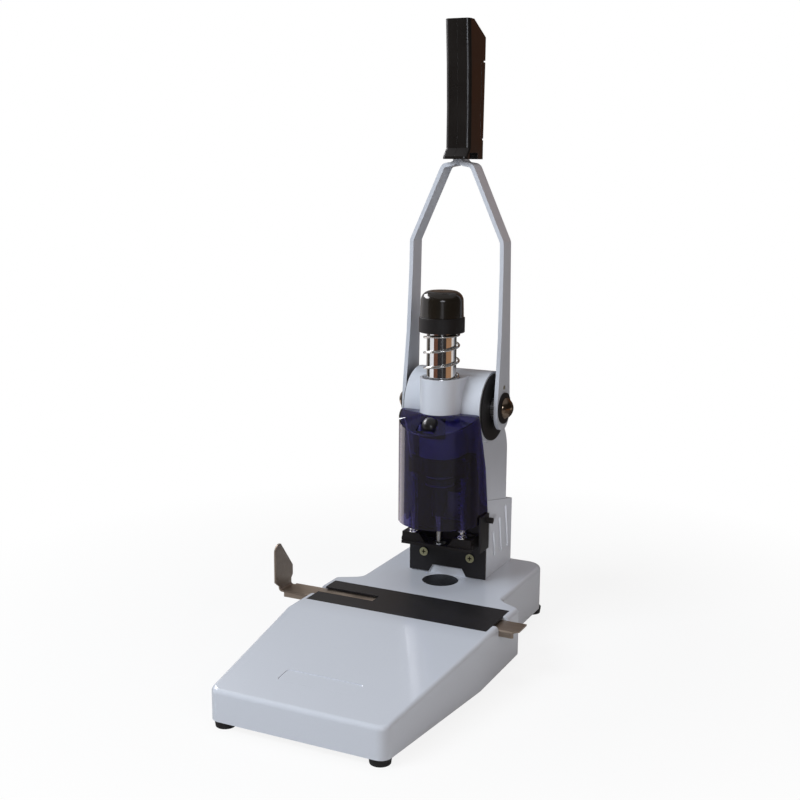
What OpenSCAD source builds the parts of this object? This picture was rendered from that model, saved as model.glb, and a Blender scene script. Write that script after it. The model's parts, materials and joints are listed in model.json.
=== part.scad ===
// Electric hole punch: a hand lever feeds a motor-driven hollow drill down through a stack of paper.
// Frame: origin at the middle of the cutting pad's top face, +X right, +Y to the rear, +Z up.
// Every length is in millimetres, and every height is measured from the work table unless a comment says so.

/* [Base] */
// Height of the work table above the floor
table_h = 53.2; // [50:0.2:64]
// Height of a rubber foot
foot_h = 7; // [5:0.5:10]
// Radius of a rubber foot
foot_r = 9.8; // [8:0.2:12]
// Width across the wings of the base
wing_w = 200; // [196:1:230]
// Pad centre to the crease where the front slope starts
crease_front = 134.2; // [125:0.2:150]
// Pad centre to the centre of the wing's rounded rear corner
wing_back = 40.8; // [38:0.2:44]
// Width of the base at its front edge
nose_w = 168.8; // [150:0.2:180]
// Pad centre to the front edge of the base
nose_front = 290; // [260:1:320]
// Drop of the top from the crease to the front edge
nose_drop = 17.7; // [10:0.1:22]
// Width of the rear part of the base
rear_w = 154.2; // [150:0.2:166]
// Pad centre to the rear edge of the base
rear_back = 100.6; // [100:0.2:115]
// Wall of the base shell
shell_t = 3; // [2.5:0.1:4]
// Radius of the rounded top edge
edge_r = 4; // [2:0.2:4.6]
// Thickness of the steel bottom plate
plate_t = 1.5; // [1:0.1:2.5]

/* [Cutting pad] */
// Radius of the cutting pad
pad_r = 18.2; // [16:0.2:18.2]
// Thickness of the cutting pad
pad_t = 5; // [4:0.2:7]

/* [Side gauge] */
// Length of the cover strip over the gauge channel
strip_w = 188; // [170:1:190]
// Pad centre to the front edge of the strip
strip_front = 108.5; // [100:0.5:118]
// Pad centre to the rear edge of the strip
strip_back = 49.4; // [47:0.2:56]
// Thickness of the strip
strip_t = 2; // [1.2:0.1:2.6]
// Pad centre to the front edge of the gauge bar
bar_front = 92; // [88:0.2:98]
// Width of the gauge bar
bar_w = 25; // [20:0.5:28]
// Sheet thickness of the gauge bar
bar_t = 1.6; // [1:0.1:2]
// Depth of the folded front edge of the bar
bar_fold = 6.2; // [4:0.2:8]
// Centre plane to the left end of the bar
bar_left = 135.4; // [132:0.2:160]
// Centre plane to the right end of the bar
bar_right = 118; // [108:0.5:125]
// Height of the upright tab above the table
tab_h = 44.8; // [30:0.2:60]

/* [Column] */
// Width of the lower box
cover_w = 80.4; // [79.6:0.2:86]
// Height of the lower box at its front
cover_front_h = 83.4; // [76:0.2:90]
// Height of the lower box at its rear
cover_back_h = 68.5; // [60:0.5:74]
// Wall of the lower box
cover_t = 2.5; // [2:0.1:2.8]
// Pad centre to the front of the column
column_front = 18.4; // [18.4:0.1:20]
// Pad centre to the rear of the lower box
cover_back = 94; // [91:0.2:97]
// Width of the upper column
column_w = 78; // [77:0.2:79]
// Pad centre to the rear of the upper column
column_back = 79; // [78:0.2:81]
// Wall of the column casting
column_t = 3.3; // [2.5:0.1:3.6]

/* [Head] */
// Height of the lever axle
axle_h = 177.5; // [172:0.5:182]
// Pad centre to the lever axle
axle_back = 32; // [31:0.2:33]
// Pad centre forward to the drill axis
drill_front = 4.5; // [3.5:0.1:5.5]
// Radius of the barrel round the axle
barrel_r = 36; // [35:0.2:37]
// Width of the barrel
barrel_w = 81; // [79:0.2:81.2]
// Radius of the upright boss that guides the quill
boss_r = 21; // [20.4:0.1:21.6]
// Lever axle up to the boss's top
boss_rise = 32.6; // [31:0.1:34]
// Lever axle down to the boss's lower end
boss_drop = 45.7; // [43.5:0.1:47.5]

/* [Lever] */
// Hub disc's face out to the arm
arm_clear = 5.5; // [5.1:0.1:11.5]
// Thickness of an arm
arm_t = 4; // [3:0.1:5]
// How far each arm leans in between the axle and its bend
arm_lean = 1.8; // [0:0.1:3]
// Lever axle up to where the arms bend inwards
bend_rise = 163.3; // [152.5:0.1:172.5]
// Lever axle up to where the arms meet under the grip
join_rise = 238.5; // [232.5:0.5:247.5]
// Radius of the eye round the axle
eye_r = 16.5; // [16:0.1:17.5]
// Width of an arm at its top
arm_w = 20; // [17:0.5:22]
// Angle that the lever swings from upright to fully down
lever_swing = 90; // [60:1:90]
// Length of the grip
grip_len = 131; // [120:1:150]
// Width of the grip
grip_w = 26; // [24:0.5:32]
// Depth of the grip at its lower end
grip_d = 36; // [33:0.5:40]

/* [Rack and pinion] */
// Gear module
gear_module = 2; // [1.9:0.05:2]
// Teeth of the pinion
pinion_teeth = 24; // [23:1:24]
// Width of the pinion
pinion_w = 12; // [10:0.5:13]
// Radius of the lever axle
axle_r = 6; // [5:0.1:6.4]
// Outer radius of the quill
quill_r = 14.6; // [14.6:0.1:15.2]
// How far the quill reaches above the stop ring's lower face
quill_over = 31; // [26:0.1:33]

/* [Stop ring and chip cap] */
// Lever axle up to the stop ring's lower face
ring_rise = 77.4; // [75.6:0.1:79.6]
// Height of the stop ring itself
ring_t = 14.6; // [13:0.1:16]
// Outer radius of the stop ring
ring_r = 22.4; // [21.4:0.1:23.6]
// Radius of the chip cap at its foot
cap_r = 21.3; // [20:0.1:22.4]
// Height of the chip cap itself
cap_h = 25.5; // [24:0.1:31]

/* [Springs] */
// Wire diameter of the return spring
return_wire = 2.3; // [1.8:0.1:2.4]
// Working turns of the return spring
return_turns = 3; // [2.5:0.25:3.5]
// Wire diameter of a presser spring
presser_wire = 1.1; // [0.8:0.1:1.3]
// Working turns of a presser spring
presser_turns = 13; // [9:1:15]

/* [Carriage] */
// Height of the carriage plate's thickness
carriage_t = 15; // [13:0.5:16]
// Pad centre to the motor shaft
motor_back = 52; // [51:0.2:53]
// Radius of the motor can
motor_r = 22; // [19:0.5:22.5]
// Length of the motor can
motor_len = 48; // [42:1:50]
// Pitch radius of the pulley on the drill spindle
spindle_pulley_r = 13; // [11:0.5:13]
// Pitch radius of the pulley on the motor shaft
motor_pulley_r = 8; // [6.5:0.5:10]

/* [Drill] */
// Outer radius of the hollow drill
drill_r = 3; // [2:0.1:3.4]
// Radius of the drill spindle
spindle_r = 5; // [4.6:0.1:5.2]
// Radius of the drill chuck
chuck_r = 8; // [7:0.1:8.4]

/* [Presser] */
// Height of the presser foot itself
presser_h = 12; // [10:0.5:14]
// Half the distance between the guide rods
rod_x = 26.5; // [26:0.1:27.5]
// Radius of a guide rod
rod_r = 2; // [1.7:0.1:2.2]
// How far the presser foot slides up on a stack of paper
presser_travel = 30; // [20:1:30]

/* [Guard] */
// Half width of the guard
guard_r = 42.3; // [42.2:0.1:43.4]
// Wall of the guard
guard_t = 1.7; // [1.4:0.1:1.8]
// Height of the guard's lower edge
guard_low = 64.8; // [63:0.2:68]
// Lever axle down to the guard's lip at the front
lip_front_drop = 17.7; // [14.5:0.1:21.5]
// Lever axle down to the guard's lip at the rear
lip_back_drop = 2.7; // [1.5:0.1:6.5]
// Radius of the dome knob
knob_r = 9.2; // [8:0.1:9.6]

/* [Hidden] */
$fn = 64;

// Shared fits and helpers
run = 0.05;       // radial running clearance of a turning or sliding fit
seat = 0.1;       // clearance of a piece dropped into its seat
gap = 0.3;        // clearance between pieces that move past each other
over = 1;         // overrun of a cut past the face it opens
screw_r = 2;      // shank radius of the larger screws
screw_head_r = 4;
screw_head_t = 2.4;
small_screw_r = 1.5;
small_head_r = 2.8;
small_head_t = 1.8;
wide = 2 * (wing_w + bar_left);  // wider than anything on the part

// Places derived from the driving sizes
floor_z = -table_h;
under_z = floor_z + foot_h;
roof_t = shell_t + edge_r / 10;
corner_r = edge_r + shell_t / 3;       // rounded wing corners
nose_corner_r = 2.5 * edge_r;
rear_corner_r = 4.5 * edge_r;
shoulder_r = 11;                        // hollow curve from wing to rear body
shoulder_tilt = 30;                     // the wing's rear edge leans by this angle
drill_y = -drill_front;
pitch_r = gear_module * pinion_teeth / 2;
tooth_pitch = PI * gear_module;
rack_y = axle_back - pitch_r;
travel = pitch_r * lever_swing * PI / 180;
table_gap = 0.2;                        // presser foot above the table with the lever right down
presser_low = travel + table_gap;
presser_top = presser_low + presser_h;
drill_tip = presser_low + gap;
buffer_t = 3;
boss_top = axle_h + boss_rise;
boss_low = axle_h - boss_drop;
bend_h = axle_h + bend_rise;
join_h = axle_h + join_rise;
ring_h = axle_h + ring_rise;
quill_top = ring_h + quill_over;
lip_front_h = axle_h - lip_front_drop;
lip_back_h = axle_h - lip_back_drop;
carriage_top = boss_low - buffer_t - gap;
carriage_low = carriage_top - carriage_t;
rod_forward = 3.5;                      // drill axis forward to the guide rods
rod_y = drill_y - rod_forward;

function unit(v) = v / norm(v);
function left_of(v) = [-v.y, v.x];
function arc(x, y, r, from, to, steps) = [for (i = [0 : steps])
    [x + r * cos(from + (to - from) * i / steps), y + r * sin(from + (to - from) * i / steps)]];
function flipped(points) = [for (i = [len(points) - 1 : -1 : 0]) [-points[i].x, points[i].y]];
function mitre(a, b, c, d) = let (u = left_of(unit(b - a)), w = left_of(unit(c - b)), n = unit(u + w))
    b + n * d / (n * u);
function side(p, d) = [for (i = [0 : len(p) - 1])
    i == 0 ? p[0] + left_of(unit(p[1] - p[0])) * d
    : i == len(p) - 1 ? p[i] + left_of(unit(p[i] - p[i - 1])) * d
    : mitre(p[i - 1], p[i], p[i + 1], d)];
function bend(a, b, c, r, steps) = let (u = unit(a - b), w = unit(c - b), half = acos(u * w) / 2,
    middle = b + unit(u + w) * r / sin(half), p = b + u * r / tan(half), q = b + w * r / tan(half),
    start = atan2(p.y - middle.y, p.x - middle.x), end = atan2(q.y - middle.y, q.x - middle.x),
    turn = (end - start + 540) % 360 - 180)
    arc(middle.x, middle.y, r, start, start + turn, steps);
function bent(p, r, steps) = concat([p[0]],
    [for (i = [1 : len(p) - 2]) each bend(p[i - 1], p[i], p[i + 1], r, steps)], [p[len(p) - 1]]);
module ribbon(p, t) polygon(concat(side(p, t / 2), [for (i = [len(p) - 1 : -1 : 0]) side(p, -t / 2)[i]]));

module at(x, y, z) translate([x, y, z]) children();
module both_sides() { children(); mirror([1, 0, 0]) children(); }
module across(from, to) translate([from, 0, 0]) rotate([90, 0, 90]) linear_extrude(to - from) children();
module tube(outer, inner, from, to) translate([0, 0, from]) difference() {
    cylinder(r = outer, h = to - from);
    translate([0, 0, -over]) cylinder(r = inner, h = to - from + 2 * over);
}
module bar(r, from, to) translate([0, 0, from]) cylinder(r = r, h = to - from);
module block(x0, x1, y0, y1, z0, z1) translate([x0, y0, z0]) cube([x1 - x0, y1 - y0, z1 - z0]);
module rounded(w, h, r) {
    square([w - 2 * r, h], center = true);
    square([w, h - 2 * r], center = true);
    for (x = [-1, 1], y = [-1, 1]) translate([x * (w / 2 - r), y * (h / 2 - r)]) circle(r);
}
// A screw that stands on its head: the shank points up from zero and the head hangs below it
module screw(shank, length, head, head_t) {
    cylinder(r = shank, h = length);
    translate([0, 0, -head_t]) cylinder(r = head, h = head_t);
}
// A cross recess for the head of a screw
module cross(size, depth) for (a = [0, 90]) rotate(a) translate([-size, -size / 4, 0])
    cube([2 * size, size / 2, depth]);

// Base shell: a prism of its plan under the table and the front slope
// Its rim is rounded by rings of the same plan
tilt_dir = [sin(shoulder_tilt), cos(shoulder_tilt)];
wing_corner = [wing_w / 2 - corner_r, -wing_back];
shoulder_x = rear_w / 2 + shoulder_r;
shoulder_y = (wing_corner * tilt_dir + corner_r + shoulder_r - tilt_dir.x * shoulder_x) / tilt_dir.y;
function half_plan(in) = concat(
    arc(nose_w / 2 - nose_corner_r, nose_corner_r - nose_front, nose_corner_r - in, -90, 0, 6),
    [[wing_w / 2 - in, -crease_front]],
    arc(wing_corner.x, wing_corner.y, corner_r - in, 0, 90 - shoulder_tilt, 4),
    arc(shoulder_x, shoulder_y, shoulder_r + in, 270 - shoulder_tilt, 180, 6),
    arc(rear_w / 2 - rear_corner_r, rear_back - rear_corner_r, rear_corner_r - in, 0, 90, 8));
function plan(in) = concat(half_plan(in), flipped(half_plan(in)));
function slope(y) = y > -crease_front ? 0 : nose_drop * (y + crease_front) / (nose_front - crease_front);
slope_tilt = atan(nose_drop / (nose_front - crease_front));
module sloped(in, top, low) intersection() {
    at(0, 0, low) linear_extrude(table_h + over) polygon(plan(in));
    union() {
        block(-wide, wide, -crease_front, wide, -wide, top);
        at(0, -crease_front, top) rotate([slope_tilt, 0, 0]) block(-wide, wide, -wide, 0, -wide, 0);
    }
}
rim_rings = concat([[-over, over], [-over, -edge_r]],
    [for (a = [0 : 15 : 90]) [edge_r * (1 - cos(a)), edge_r * (sin(a) - 1)]], [[edge_r, over]]);
module rim_cut() {
    count = len(plan(0));
    all = count * len(rim_rings);
    points = [for (ring = rim_rings, p = plan(ring[0])) [p.x, p.y, slope(p.y) + ring[1]]];
    polyhedron(points, [for (k = [0 : len(rim_rings) - 1], i = [0 : count - 1])
        let (a = k * count, b = (a + count) % all, j = (i + 1) % count)
        each [[a + i, a + j, b + i], [b + i, a + j, b + j]]]);
}

// Base casting: painted shell, open below, with the bed of the gauge channel and the pillars cast in
plate_top = under_z + plate_t;
foot_in = 1.2;
foot_places = [[nose_w / 2 - foot_r - foot_in, foot_r + foot_in - nose_front],
    [rear_w / 2 - foot_r, rear_back - foot_r - foot_in]];
pillar_r = screw_r + shell_t;
bar_play = 1.2;
bar_top = -strip_t - bar_play;
bar_floor = bar_top - bar_fold - gap;
pad_hole_r = pad_r * 0.4;
wire_hole_r = 5;
wire_hole_y = column_back + wire_hole_r + screw_r;
label_w = 74;
label_h = 19;
label_r = 4;
label_deep = 0.6;
label_at = 113;                         // crease to the label recess, down the slope
inlet_w = 27;
inlet_h = 19;
switch_w = 19;
switch_h = 13;
rear_x = rear_w / 4;
rear_z = (under_z - roof_t) / 2;
module base_casting() color("gainsboro") difference() {
    union() {
        difference() {
            sloped(0, 0, under_z);
            rim_cut();
            sloped(shell_t, -roof_t, under_z - over);
        }
        block((shell_t - wing_w) / 2, (wing_w - shell_t) / 2, -strip_front - shell_t, shell_t - strip_back,
            bar_floor - shell_t, -roof_t / 2);
        bar(pad_r + shell_t, -pad_t - shell_t, -roof_t / 2);
        both_sides() for (p = foot_places) at(p.x, p.y, 0)
            bar(pillar_r, plate_top, slope(p.y) - roof_t / 2);
    }
    block(-wide, wide, -bar_front - gap, bar_w - bar_front + gap, bar_floor, over);
    block(-strip_w / 2 - seat, strip_w / 2 + seat, -strip_front - seat, seat - strip_back, -strip_t, over);
    bar(pad_r + 2 * seat, -pad_t - seat, over);
    bar(pad_hole_r, -wide, over);
    at(0, wire_hole_y, 0) bar(wire_hole_r, -wide / 4, over);
    both_sides() for (p = foot_places) at(p.x, p.y, 0)
        bar(screw_r + seat, under_z - over, plate_top + foot_screw_grip + over);
    both_sides() for (p = column_bosses) at(p.x, p.y, 0) bar(screw_r + seat, -2 * roof_t, over);
    at(0, -crease_front, 0) rotate([slope_tilt, 0, 0]) at(0, -label_at, -label_deep) linear_extrude(over)
        rounded(label_w, label_h, label_r);
    at(rear_x, rear_back - 2 * shell_t, rear_z) rotate([-90, 0, 0]) linear_extrude(4 * shell_t)
        square([inlet_w + seat, inlet_h + seat], center = true);
    at(-rear_x, rear_back - 2 * shell_t, rear_z) rotate([-90, 0, 0]) linear_extrude(4 * shell_t)
        square([switch_w + seat, switch_h + seat], center = true);
}

// Bottom plate: folded-flat steel sheet that drops inside the shell's rim
foot_screw_grip = 8;
module bottom_plate() color("silver") difference() {
    at(0, 0, under_z) linear_extrude(plate_t) polygon(plan(shell_t + seat));
    both_sides() for (p = foot_places) at(p.x, p.y, 0)
        bar(screw_r + seat, under_z - over, plate_top + over);
}

// Rubber feet, hollowed from below for the heads of their screws
foot_seat_z = floor_z + foot_h / 2;
module rubber_foot() rotate_extrude() polygon([[screw_head_r + seat, floor_z], [foot_r * 0.9, floor_z],
    [foot_r, under_z], [screw_r + seat, under_z], [screw_r + seat, foot_seat_z],
        [screw_head_r + seat, foot_seat_z]]);
module rubber_feet() color("black") both_sides() for (p = foot_places) at(p.x, p.y, 0) rubber_foot();
module foot_screws() color("silver") both_sides() for (p = foot_places) at(p.x, p.y, foot_seat_z)
    screw(screw_r, plate_top + foot_screw_grip - foot_seat_z, screw_head_r, screw_head_t);

// Cutting pad: a plastic disc that turns in its pocket, so that the drill meets a fresh place
pad_bevel = 0.5;
module cutting_pad() color("black") rotate_extrude() polygon([[0, -pad_t], [pad_r - pad_bevel, -pad_t],
    [pad_r, pad_bevel - pad_t], [pad_r, -pad_bevel], [pad_r - pad_bevel, 0], [0, 0]]);

// Gauge strip: black cover plate let into the table over the channel, open over the bar at its left end
strip_slot_end = 34;
strip_slot_front = bar_front - bar_w * 0.28;
strip_slot_back = bar_front - bar_w * 0.88;
module gauge_strip() color([0.14, 0.14, 0.15]) difference() {
    block(-strip_w / 2, strip_w / 2, -strip_front, -strip_back, -strip_t, 0);
    block(-wide, -strip_slot_end, -strip_slot_front, -strip_slot_back, -strip_t - over, over);
}

// Gauge bar: steel strip with a folded front edge, bent up at its left end into the stop tab
bar_bend_r = 3;
bar_mid = bar_top - bar_t / 2;
tab_w = bar_w * 1.32;
tab_front = bar_front + tab_w - bar_w;
tab_top_r = tab_w * 0.24;
tab_waist = tab_h * 0.14;
bar_clip = bar_w / 3;
module bar_section() ribbon(bent([[bar_t / 2 - bar_front, bar_top - bar_fold],
    [bar_t / 2 - bar_front, bar_mid],
    [bar_w - bar_front, bar_mid]], bar_t, 4), bar_t);
module bar_plan() difference() {
    translate([-bar_left, -bar_front]) square([bar_left + bar_right, bar_w]);
    translate([bar_right, -bar_front]) rotate(45) square([bar_clip * sqrt(2), bar_clip], center = true);
}
module tab_outline() polygon(concat([[-bar_front, -tab_waist], [-bar_front, 0], [-tab_front, tab_waist]],
    arc(tab_top_r - tab_front, tab_h - tab_top_r, tab_top_r, 180, 70, 8),
    [[bar_w - bar_front, tab_h * 0.36], [bar_w - bar_front, tab_waist],
    [bar_w * 0.88 - bar_front, tab_waist / 2], [bar_w * 0.88 - bar_front, -tab_waist]]));
module gauge_bar() color([0.45, 0.41, 0.37]) {
    intersection() {
        across(2 * bar_bend_r - bar_left, bar_right) bar_section();
        at(0, 0, -wide / 2) linear_extrude(wide) bar_plan();
    }
    intersection() {
        rotate([90, 0, 0]) at(0, 0, -wide / 4) linear_extrude(wide / 2)
            ribbon(bent([[bar_t / 2 - bar_left, tab_h + over],
            [bar_t / 2 - bar_left, bar_mid], [2 * bar_bend_r - bar_left, bar_mid]], bar_bend_r, 6), bar_t);
        union() {
            across(-wide / 2, bar_t - bar_left) tab_outline();
            block(-wide / 2, wide / 2, -bar_front, bar_w * 0.88 - bar_front, bar_top - bar_fold,
                tab_waist / 2);
        }
    }
}

// Lower box of the column: moulded cover with a slanting rim and three vent slots in each side
ledge_drop = (cover_front_h - cover_back_h) / (cover_back - column_front);
function ledge(y) = cover_front_h - (y - column_front) * ledge_drop;
casting_half = cover_w / 2 - cover_t - seat;      // casting where it stands inside the box
column_in = casting_half - column_t;              // inner half width of the casting
vent_w = 5.2;
vent_back = 50;                         // rear of the cover to its first vent
vent_low = 18;
vent_pitch = 17.5;
vent_lean = 9.5;
vent_y = [for (i = [0 : 2]) cover_back - vent_back + i * vent_pitch];
vent_top_shares = [0.58, 0.75, 0.92];
module column_cover() color("gainsboro") difference() {
    across(-cover_w / 2, cover_w / 2) polygon([[column_front, 0], [column_front, ledge(column_front)],
        [cover_back, ledge(cover_back)], [cover_back, 0]]);
    across(cover_t - cover_w / 2, cover_w / 2 - cover_t) polygon([[column_front - over, -over],
        [column_front - over, wide], [column_back + seat, wide],
            [column_back + seat, ledge(column_back) - cover_t],
        [cover_back - cover_t, ledge(cover_back) - cover_t], [cover_back - cover_t, -over]]);
    across(-cover_w, cover_w) for (i = [0 : 2]) {
        vent_top = ledge(vent_y[i]) * vent_top_shares[i];
        reach = (vent_top - vent_low - vent_w) / 2;
        translate([vent_y[i], (vent_top + vent_low) / 2]) rotate(vent_lean) {
            square([vent_w, 2 * reach], center = true);
            for (z = [-reach, reach]) translate([0, z]) circle(vent_w / 2);
        }
    }
}

// Head casting: barrel, quill boss and column in one painted casting
cheek_r = 40;                           // curve from the column's back up into the barrel
cheek_z = axle_h - 1.5 * barrel_r;
cheek_front = 10;                       // the cheeks reach forward behind the guard by this much
disc_t = 6;
disc_out = 2;                           // the hub disc stands proud of the barrel by this much
disc_in_rim = 2.5;                      // the barrel's rim outside the hub disc
disc_r = barrel_r - disc_in_rim;
disc_in = barrel_w / 2 + disc_out - disc_t;
arm_gap = disc_in + disc_t + arm_clear; // half the gap between the arms at the axle
gear_r = pitch_r + gear_module;
gear_clear = 1.5;
gear_room_r = gear_r + gear_clear;
web_t = 3;
gear_room_half = pinion_w / 2 + web_t;
counterbore_wide = 4.2;
counterbore_r = quill_r + counterbore_wide;
counterbore_deep = 7.5;
spring_floor = boss_top - counterbore_deep;
column_boss_h = 20;
column_boss_r = 5;
column_screw_grip = 12;
column_bosses = [[column_in - column_boss_r + seat, column_front + 1.5 * column_boss_r],
    [column_in - column_boss_r + seat, column_back - column_t - column_boss_r]];
stop_screw_x = 25.7;
stop_screw_z = 22.1;
neck_half = 16.5;                       // half width of the carriage's neck
slot_clear = 2;
slot_half = neck_half + slot_clear;
pulley_t = 10;
pulley_gap = 2;
pulley_top = carriage_low - pulley_gap;
pulley_low = pulley_top - pulley_t;
slot_low = pulley_low - travel - 4 * over;
knob_rise = 5;                          // height of the knob above the front of the lip
knob_z = lip_front_h + knob_rise;
stud_r = screw_r;
stud_deep = 5.5;
module column_side() polygon(concat([[column_front, 0], [column_front, cover_front_h - cover_t],
    [column_front - cheek_front, cheek_z], [drill_y + over, axle_h - barrel_r / 5], [axle_back, axle_h]],
    arc(column_back - cheek_r, cheek_z, cheek_r, 40, 0, 8), [[column_back, 0]]));
module column_inside() polygon(concat([[column_front + column_t, -over],
    [column_front + column_t, axle_h - barrel_r / 2]],
    arc(column_back - cheek_r, cheek_z, cheek_r - column_t, 30, 0, 8), [[column_back - column_t, -over]]));
module head_casting() color("gainsboro") difference() {
    union() {
        across(-barrel_w / 2, barrel_w / 2) translate([axle_back, axle_h]) circle(barrel_r, $fn = 96);
        at(0, drill_y, 0) bar(boss_r, boss_low, boss_top);
        block(-boss_r, boss_r, drill_y, axle_back, boss_low, boss_top);
        difference() {
            across(-column_w / 2, column_w / 2) column_side();
            both_sides() across(casting_half, wide) polygon([[0, -over], [0, ledge(0) + seat],
                [wide, ledge(wide) + seat], [wide, -over]]);
            across(-column_in, column_in) column_inside();
            block(-column_in, column_in, -wide, column_front, -over, axle_h);
            block(-slot_half, slot_half, -wide, column_front + 2 * column_t, slot_low, axle_h);
        }
        both_sides() for (p = column_bosses) at(p.x, p.y, 0) bar(column_boss_r, 0, column_boss_h);
    }
    at(0, drill_y, 0) bar(quill_r + run, boss_low - over, wide);
    at(0, drill_y, 0) bar(counterbore_r, spring_floor, wide);
    at(0, axle_back, axle_h) rotate([0, 90, 0]) {
        bar(gear_room_r, -gear_room_half, gear_room_half);
        bar(axle_r + over, -wide, wide);
    }
    both_sides() at(0, axle_back, axle_h) rotate([0, 90, 0]) {
        bar(disc_r + seat, disc_in - seat, wide);
        bar(disc_r - column_t, boss_r + web_t, wide);
        bar(bush_r + web_t + seat, bush_in - seat, wide);
    }
    both_sides() across(column_in - over, wide) for (y = [vent_y[0], vent_y[1]])
        translate([y - 1.5 * vent_w, vent_low - vent_w / 2])
        square([3 * vent_w, ledge(y) - vent_low - vent_w]);
    both_sides() for (p = column_bosses) at(p.x, p.y, 0)
        bar(screw_r + seat, -over, column_screw_grip + over);
    both_sides() at(stop_screw_x, column_front, stop_screw_z) rotate([-90, 0, 0])
        bar(small_screw_r + seat, -over, 2 * column_t);
    at(0, drill_y - boss_r, knob_z) rotate([-90, 0, 0]) bar(stud_r + seat, -over, stud_deep + seat);
}
module column_screws() color("silver") both_sides() for (p = column_bosses) at(p.x, p.y, -roof_t)
    screw(screw_r, roof_t + column_screw_grip, screw_head_r, screw_head_t);

// Stop plate: black folded sheet that squares the paper, slotted for the carriage
// Its right edge is bent forward into an ear for the guard's thumb screw
stop_t = 2;
stop_low = 1.3;
stop_notch_low = 21.8;
stop_notch_high = 16.5;
stop_notch_h = 9.3;
ear_in = guard_r + gap;
ear_hang = 2.4;                         // the ear hangs below the presser foot by this much
ear_h = 36.5;
ear_low = presser_low - ear_hang;
ear_front = 3.5;
ear_high = ear_low + ear_h;
tab_h_low = 7;                          // the guard's side tabs reach below its edge
tab_low = guard_low - tab_h_low;
stop_mid = guard_r - guard_t - gap;
stop_top = boss_low - gap;
stop_back = column_front - stop_t;
module stop_plate() color([0.14, 0.14, 0.15]) difference() {
    union() {
        block(-guard_r, ear_in + stop_t, stop_back, column_front, ear_low, tab_low - gap);
        block(-guard_r, guard_r, stop_back, column_front, stop_low, ear_low);
        block(-stop_mid, stop_mid, stop_back, column_front, ear_low, cover_front_h - 2 * cover_t);
        block(seat - column_in, column_in - seat, stop_back, column_front, ear_low, stop_top);
        block(ear_in, ear_in + stop_t, -ear_front, column_front, ear_low, ear_high);
    }
    at(0, column_front + over, 0) rotate([90, 0, 0]) linear_extrude(stop_t + 2 * over)
        polygon([[-stop_notch_low, 0], [-stop_notch_high, stop_notch_h], [stop_notch_high, stop_notch_h],
            [stop_notch_low, 0]]);
    block(-slot_half, slot_half, stop_back - over, column_front + over, slot_low, wide);
    both_sides() at(stop_screw_x, column_front, stop_screw_z) rotate([90, 0, 0])
        bar(small_screw_r + seat, -over, stop_t + over);
    at(ear_in, thumb_y, thumb_z) rotate([0, 90, 0]) bar(small_screw_r + seat, -over, stop_t + over);
}
pan_head_r = 4.5;
module stop_plate_screws() color([0.6, 0.6, 0.52]) both_sides() at(stop_screw_x, stop_back, stop_screw_z)
    rotate([-90, 0, 0]) difference() {
        screw(small_screw_r, stop_t + column_t, pan_head_r, small_head_t);
        at(0, 0, -small_head_t - over) cross(pan_head_r / 2, over + small_head_t / 2);
    }

// Guard: tinted clear moulding that hangs round the boss, its roof sloping down to a glossy lip
guard_front = 44.5;
guard_y = guard_r - guard_front;
lip_back_y = 8;
lip_tilt = atan((lip_back_h - lip_front_h) / (guard_front - lip_back_y));
roof_drop = 1.7;
roof_h = axle_h - roof_drop;
guard_back = column_front + shell_t;
side_rise = 17;                         // upright part of the guard's rear edge
side_lap = 2;                           // the sides lap past the column's front by this much
side_tab_y = 4;
shoulder_in = 1.8;                      // the roof's shoulders stand in from the sides by this much
thumb_y = 12;
thumb_rise = 1.4;
thumb_z = guard_low + thumb_rise;
module guard_form(in, low) hull($fn = 48) {
    at(0, drill_y, roof_h - in) bar(boss_r, -over, 0);
    block(in + shoulder_in - guard_r, guard_r - shoulder_in - in, drill_y, drill_y + over,
        roof_h - in - over, roof_h - in);
    difference() {
        union() {
            at(0, guard_y, 0) bar(guard_r - in, low, lip_back_h);
            block(in - guard_r, guard_r - in, guard_y, guard_back, low, lip_back_h);
        }
        at(0, -guard_front, lip_front_h - in) rotate([lip_tilt, 0, 0])
            block(-wide, wide, -wide, wide, 0, wide);
    }
}
module guard_side() polygon([[-wide, guard_low], [side_tab_y, guard_low], [side_tab_y, tab_low],
    [column_front + side_lap, tab_low], [column_front + side_lap / 2, tab_low + side_rise],
    [thumb_y, cheek_z - 2 * side_lap], [drill_y - side_lap, lip_back_h], [drill_y + over, axle_h],
        [-wide, axle_h]]);
collar_half = 13;                       // half width of the collar that the knob clamps to the boss
collar_drop = 12;                       // the collar reaches below the knob's axis by this much
knob_lift = 0.6;                        // centre of the dome to its flat back
knob_y = drill_y - boss_r - gap - guard_t - seat - knob_lift;
knob_lip = 3;                           // wall left in front of the knob's recess
module guard_collar() intersection() {
    at(0, drill_y, 0) bar(boss_r + gap + guard_t, knob_z - collar_drop, axle_h);
    block(-collar_half, collar_half, -wide, drill_y, knob_z - collar_drop, axle_h);
}
module guard() color([0.16, 0.15, 0.4, 0.6]) difference() {
    intersection() {
        guard_form(0, tab_low);
        across(-guard_r - over, guard_r + over) guard_side();
    }
    difference() {
        guard_form(guard_t, tab_low - over);
        guard_collar();
    }
    at(0, drill_y, 0) bar(boss_r + gap, tab_low, wide);
    block(-boss_r - gap, boss_r + gap, drill_y, axle_back, boss_low, wide);
    across(-wide, wide) translate([axle_back, axle_h]) circle(barrel_r + gap);
    at(0, knob_y + knob_lift + seat, knob_z) rotate([90, 0, 0])
        bar(knob_r + 2 * gap, 0, guard_front + knob_y - knob_lip);
    at(0, drill_y - boss_r + over, knob_z) rotate([90, 0, 0])
        bar(stud_r + seat, 0, guard_t + gap + 2 * over);
    at(guard_r, thumb_y, thumb_z) rotate([0, 90, 0]) bar(small_screw_r + seat, -guard_t - over, over);
}
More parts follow.
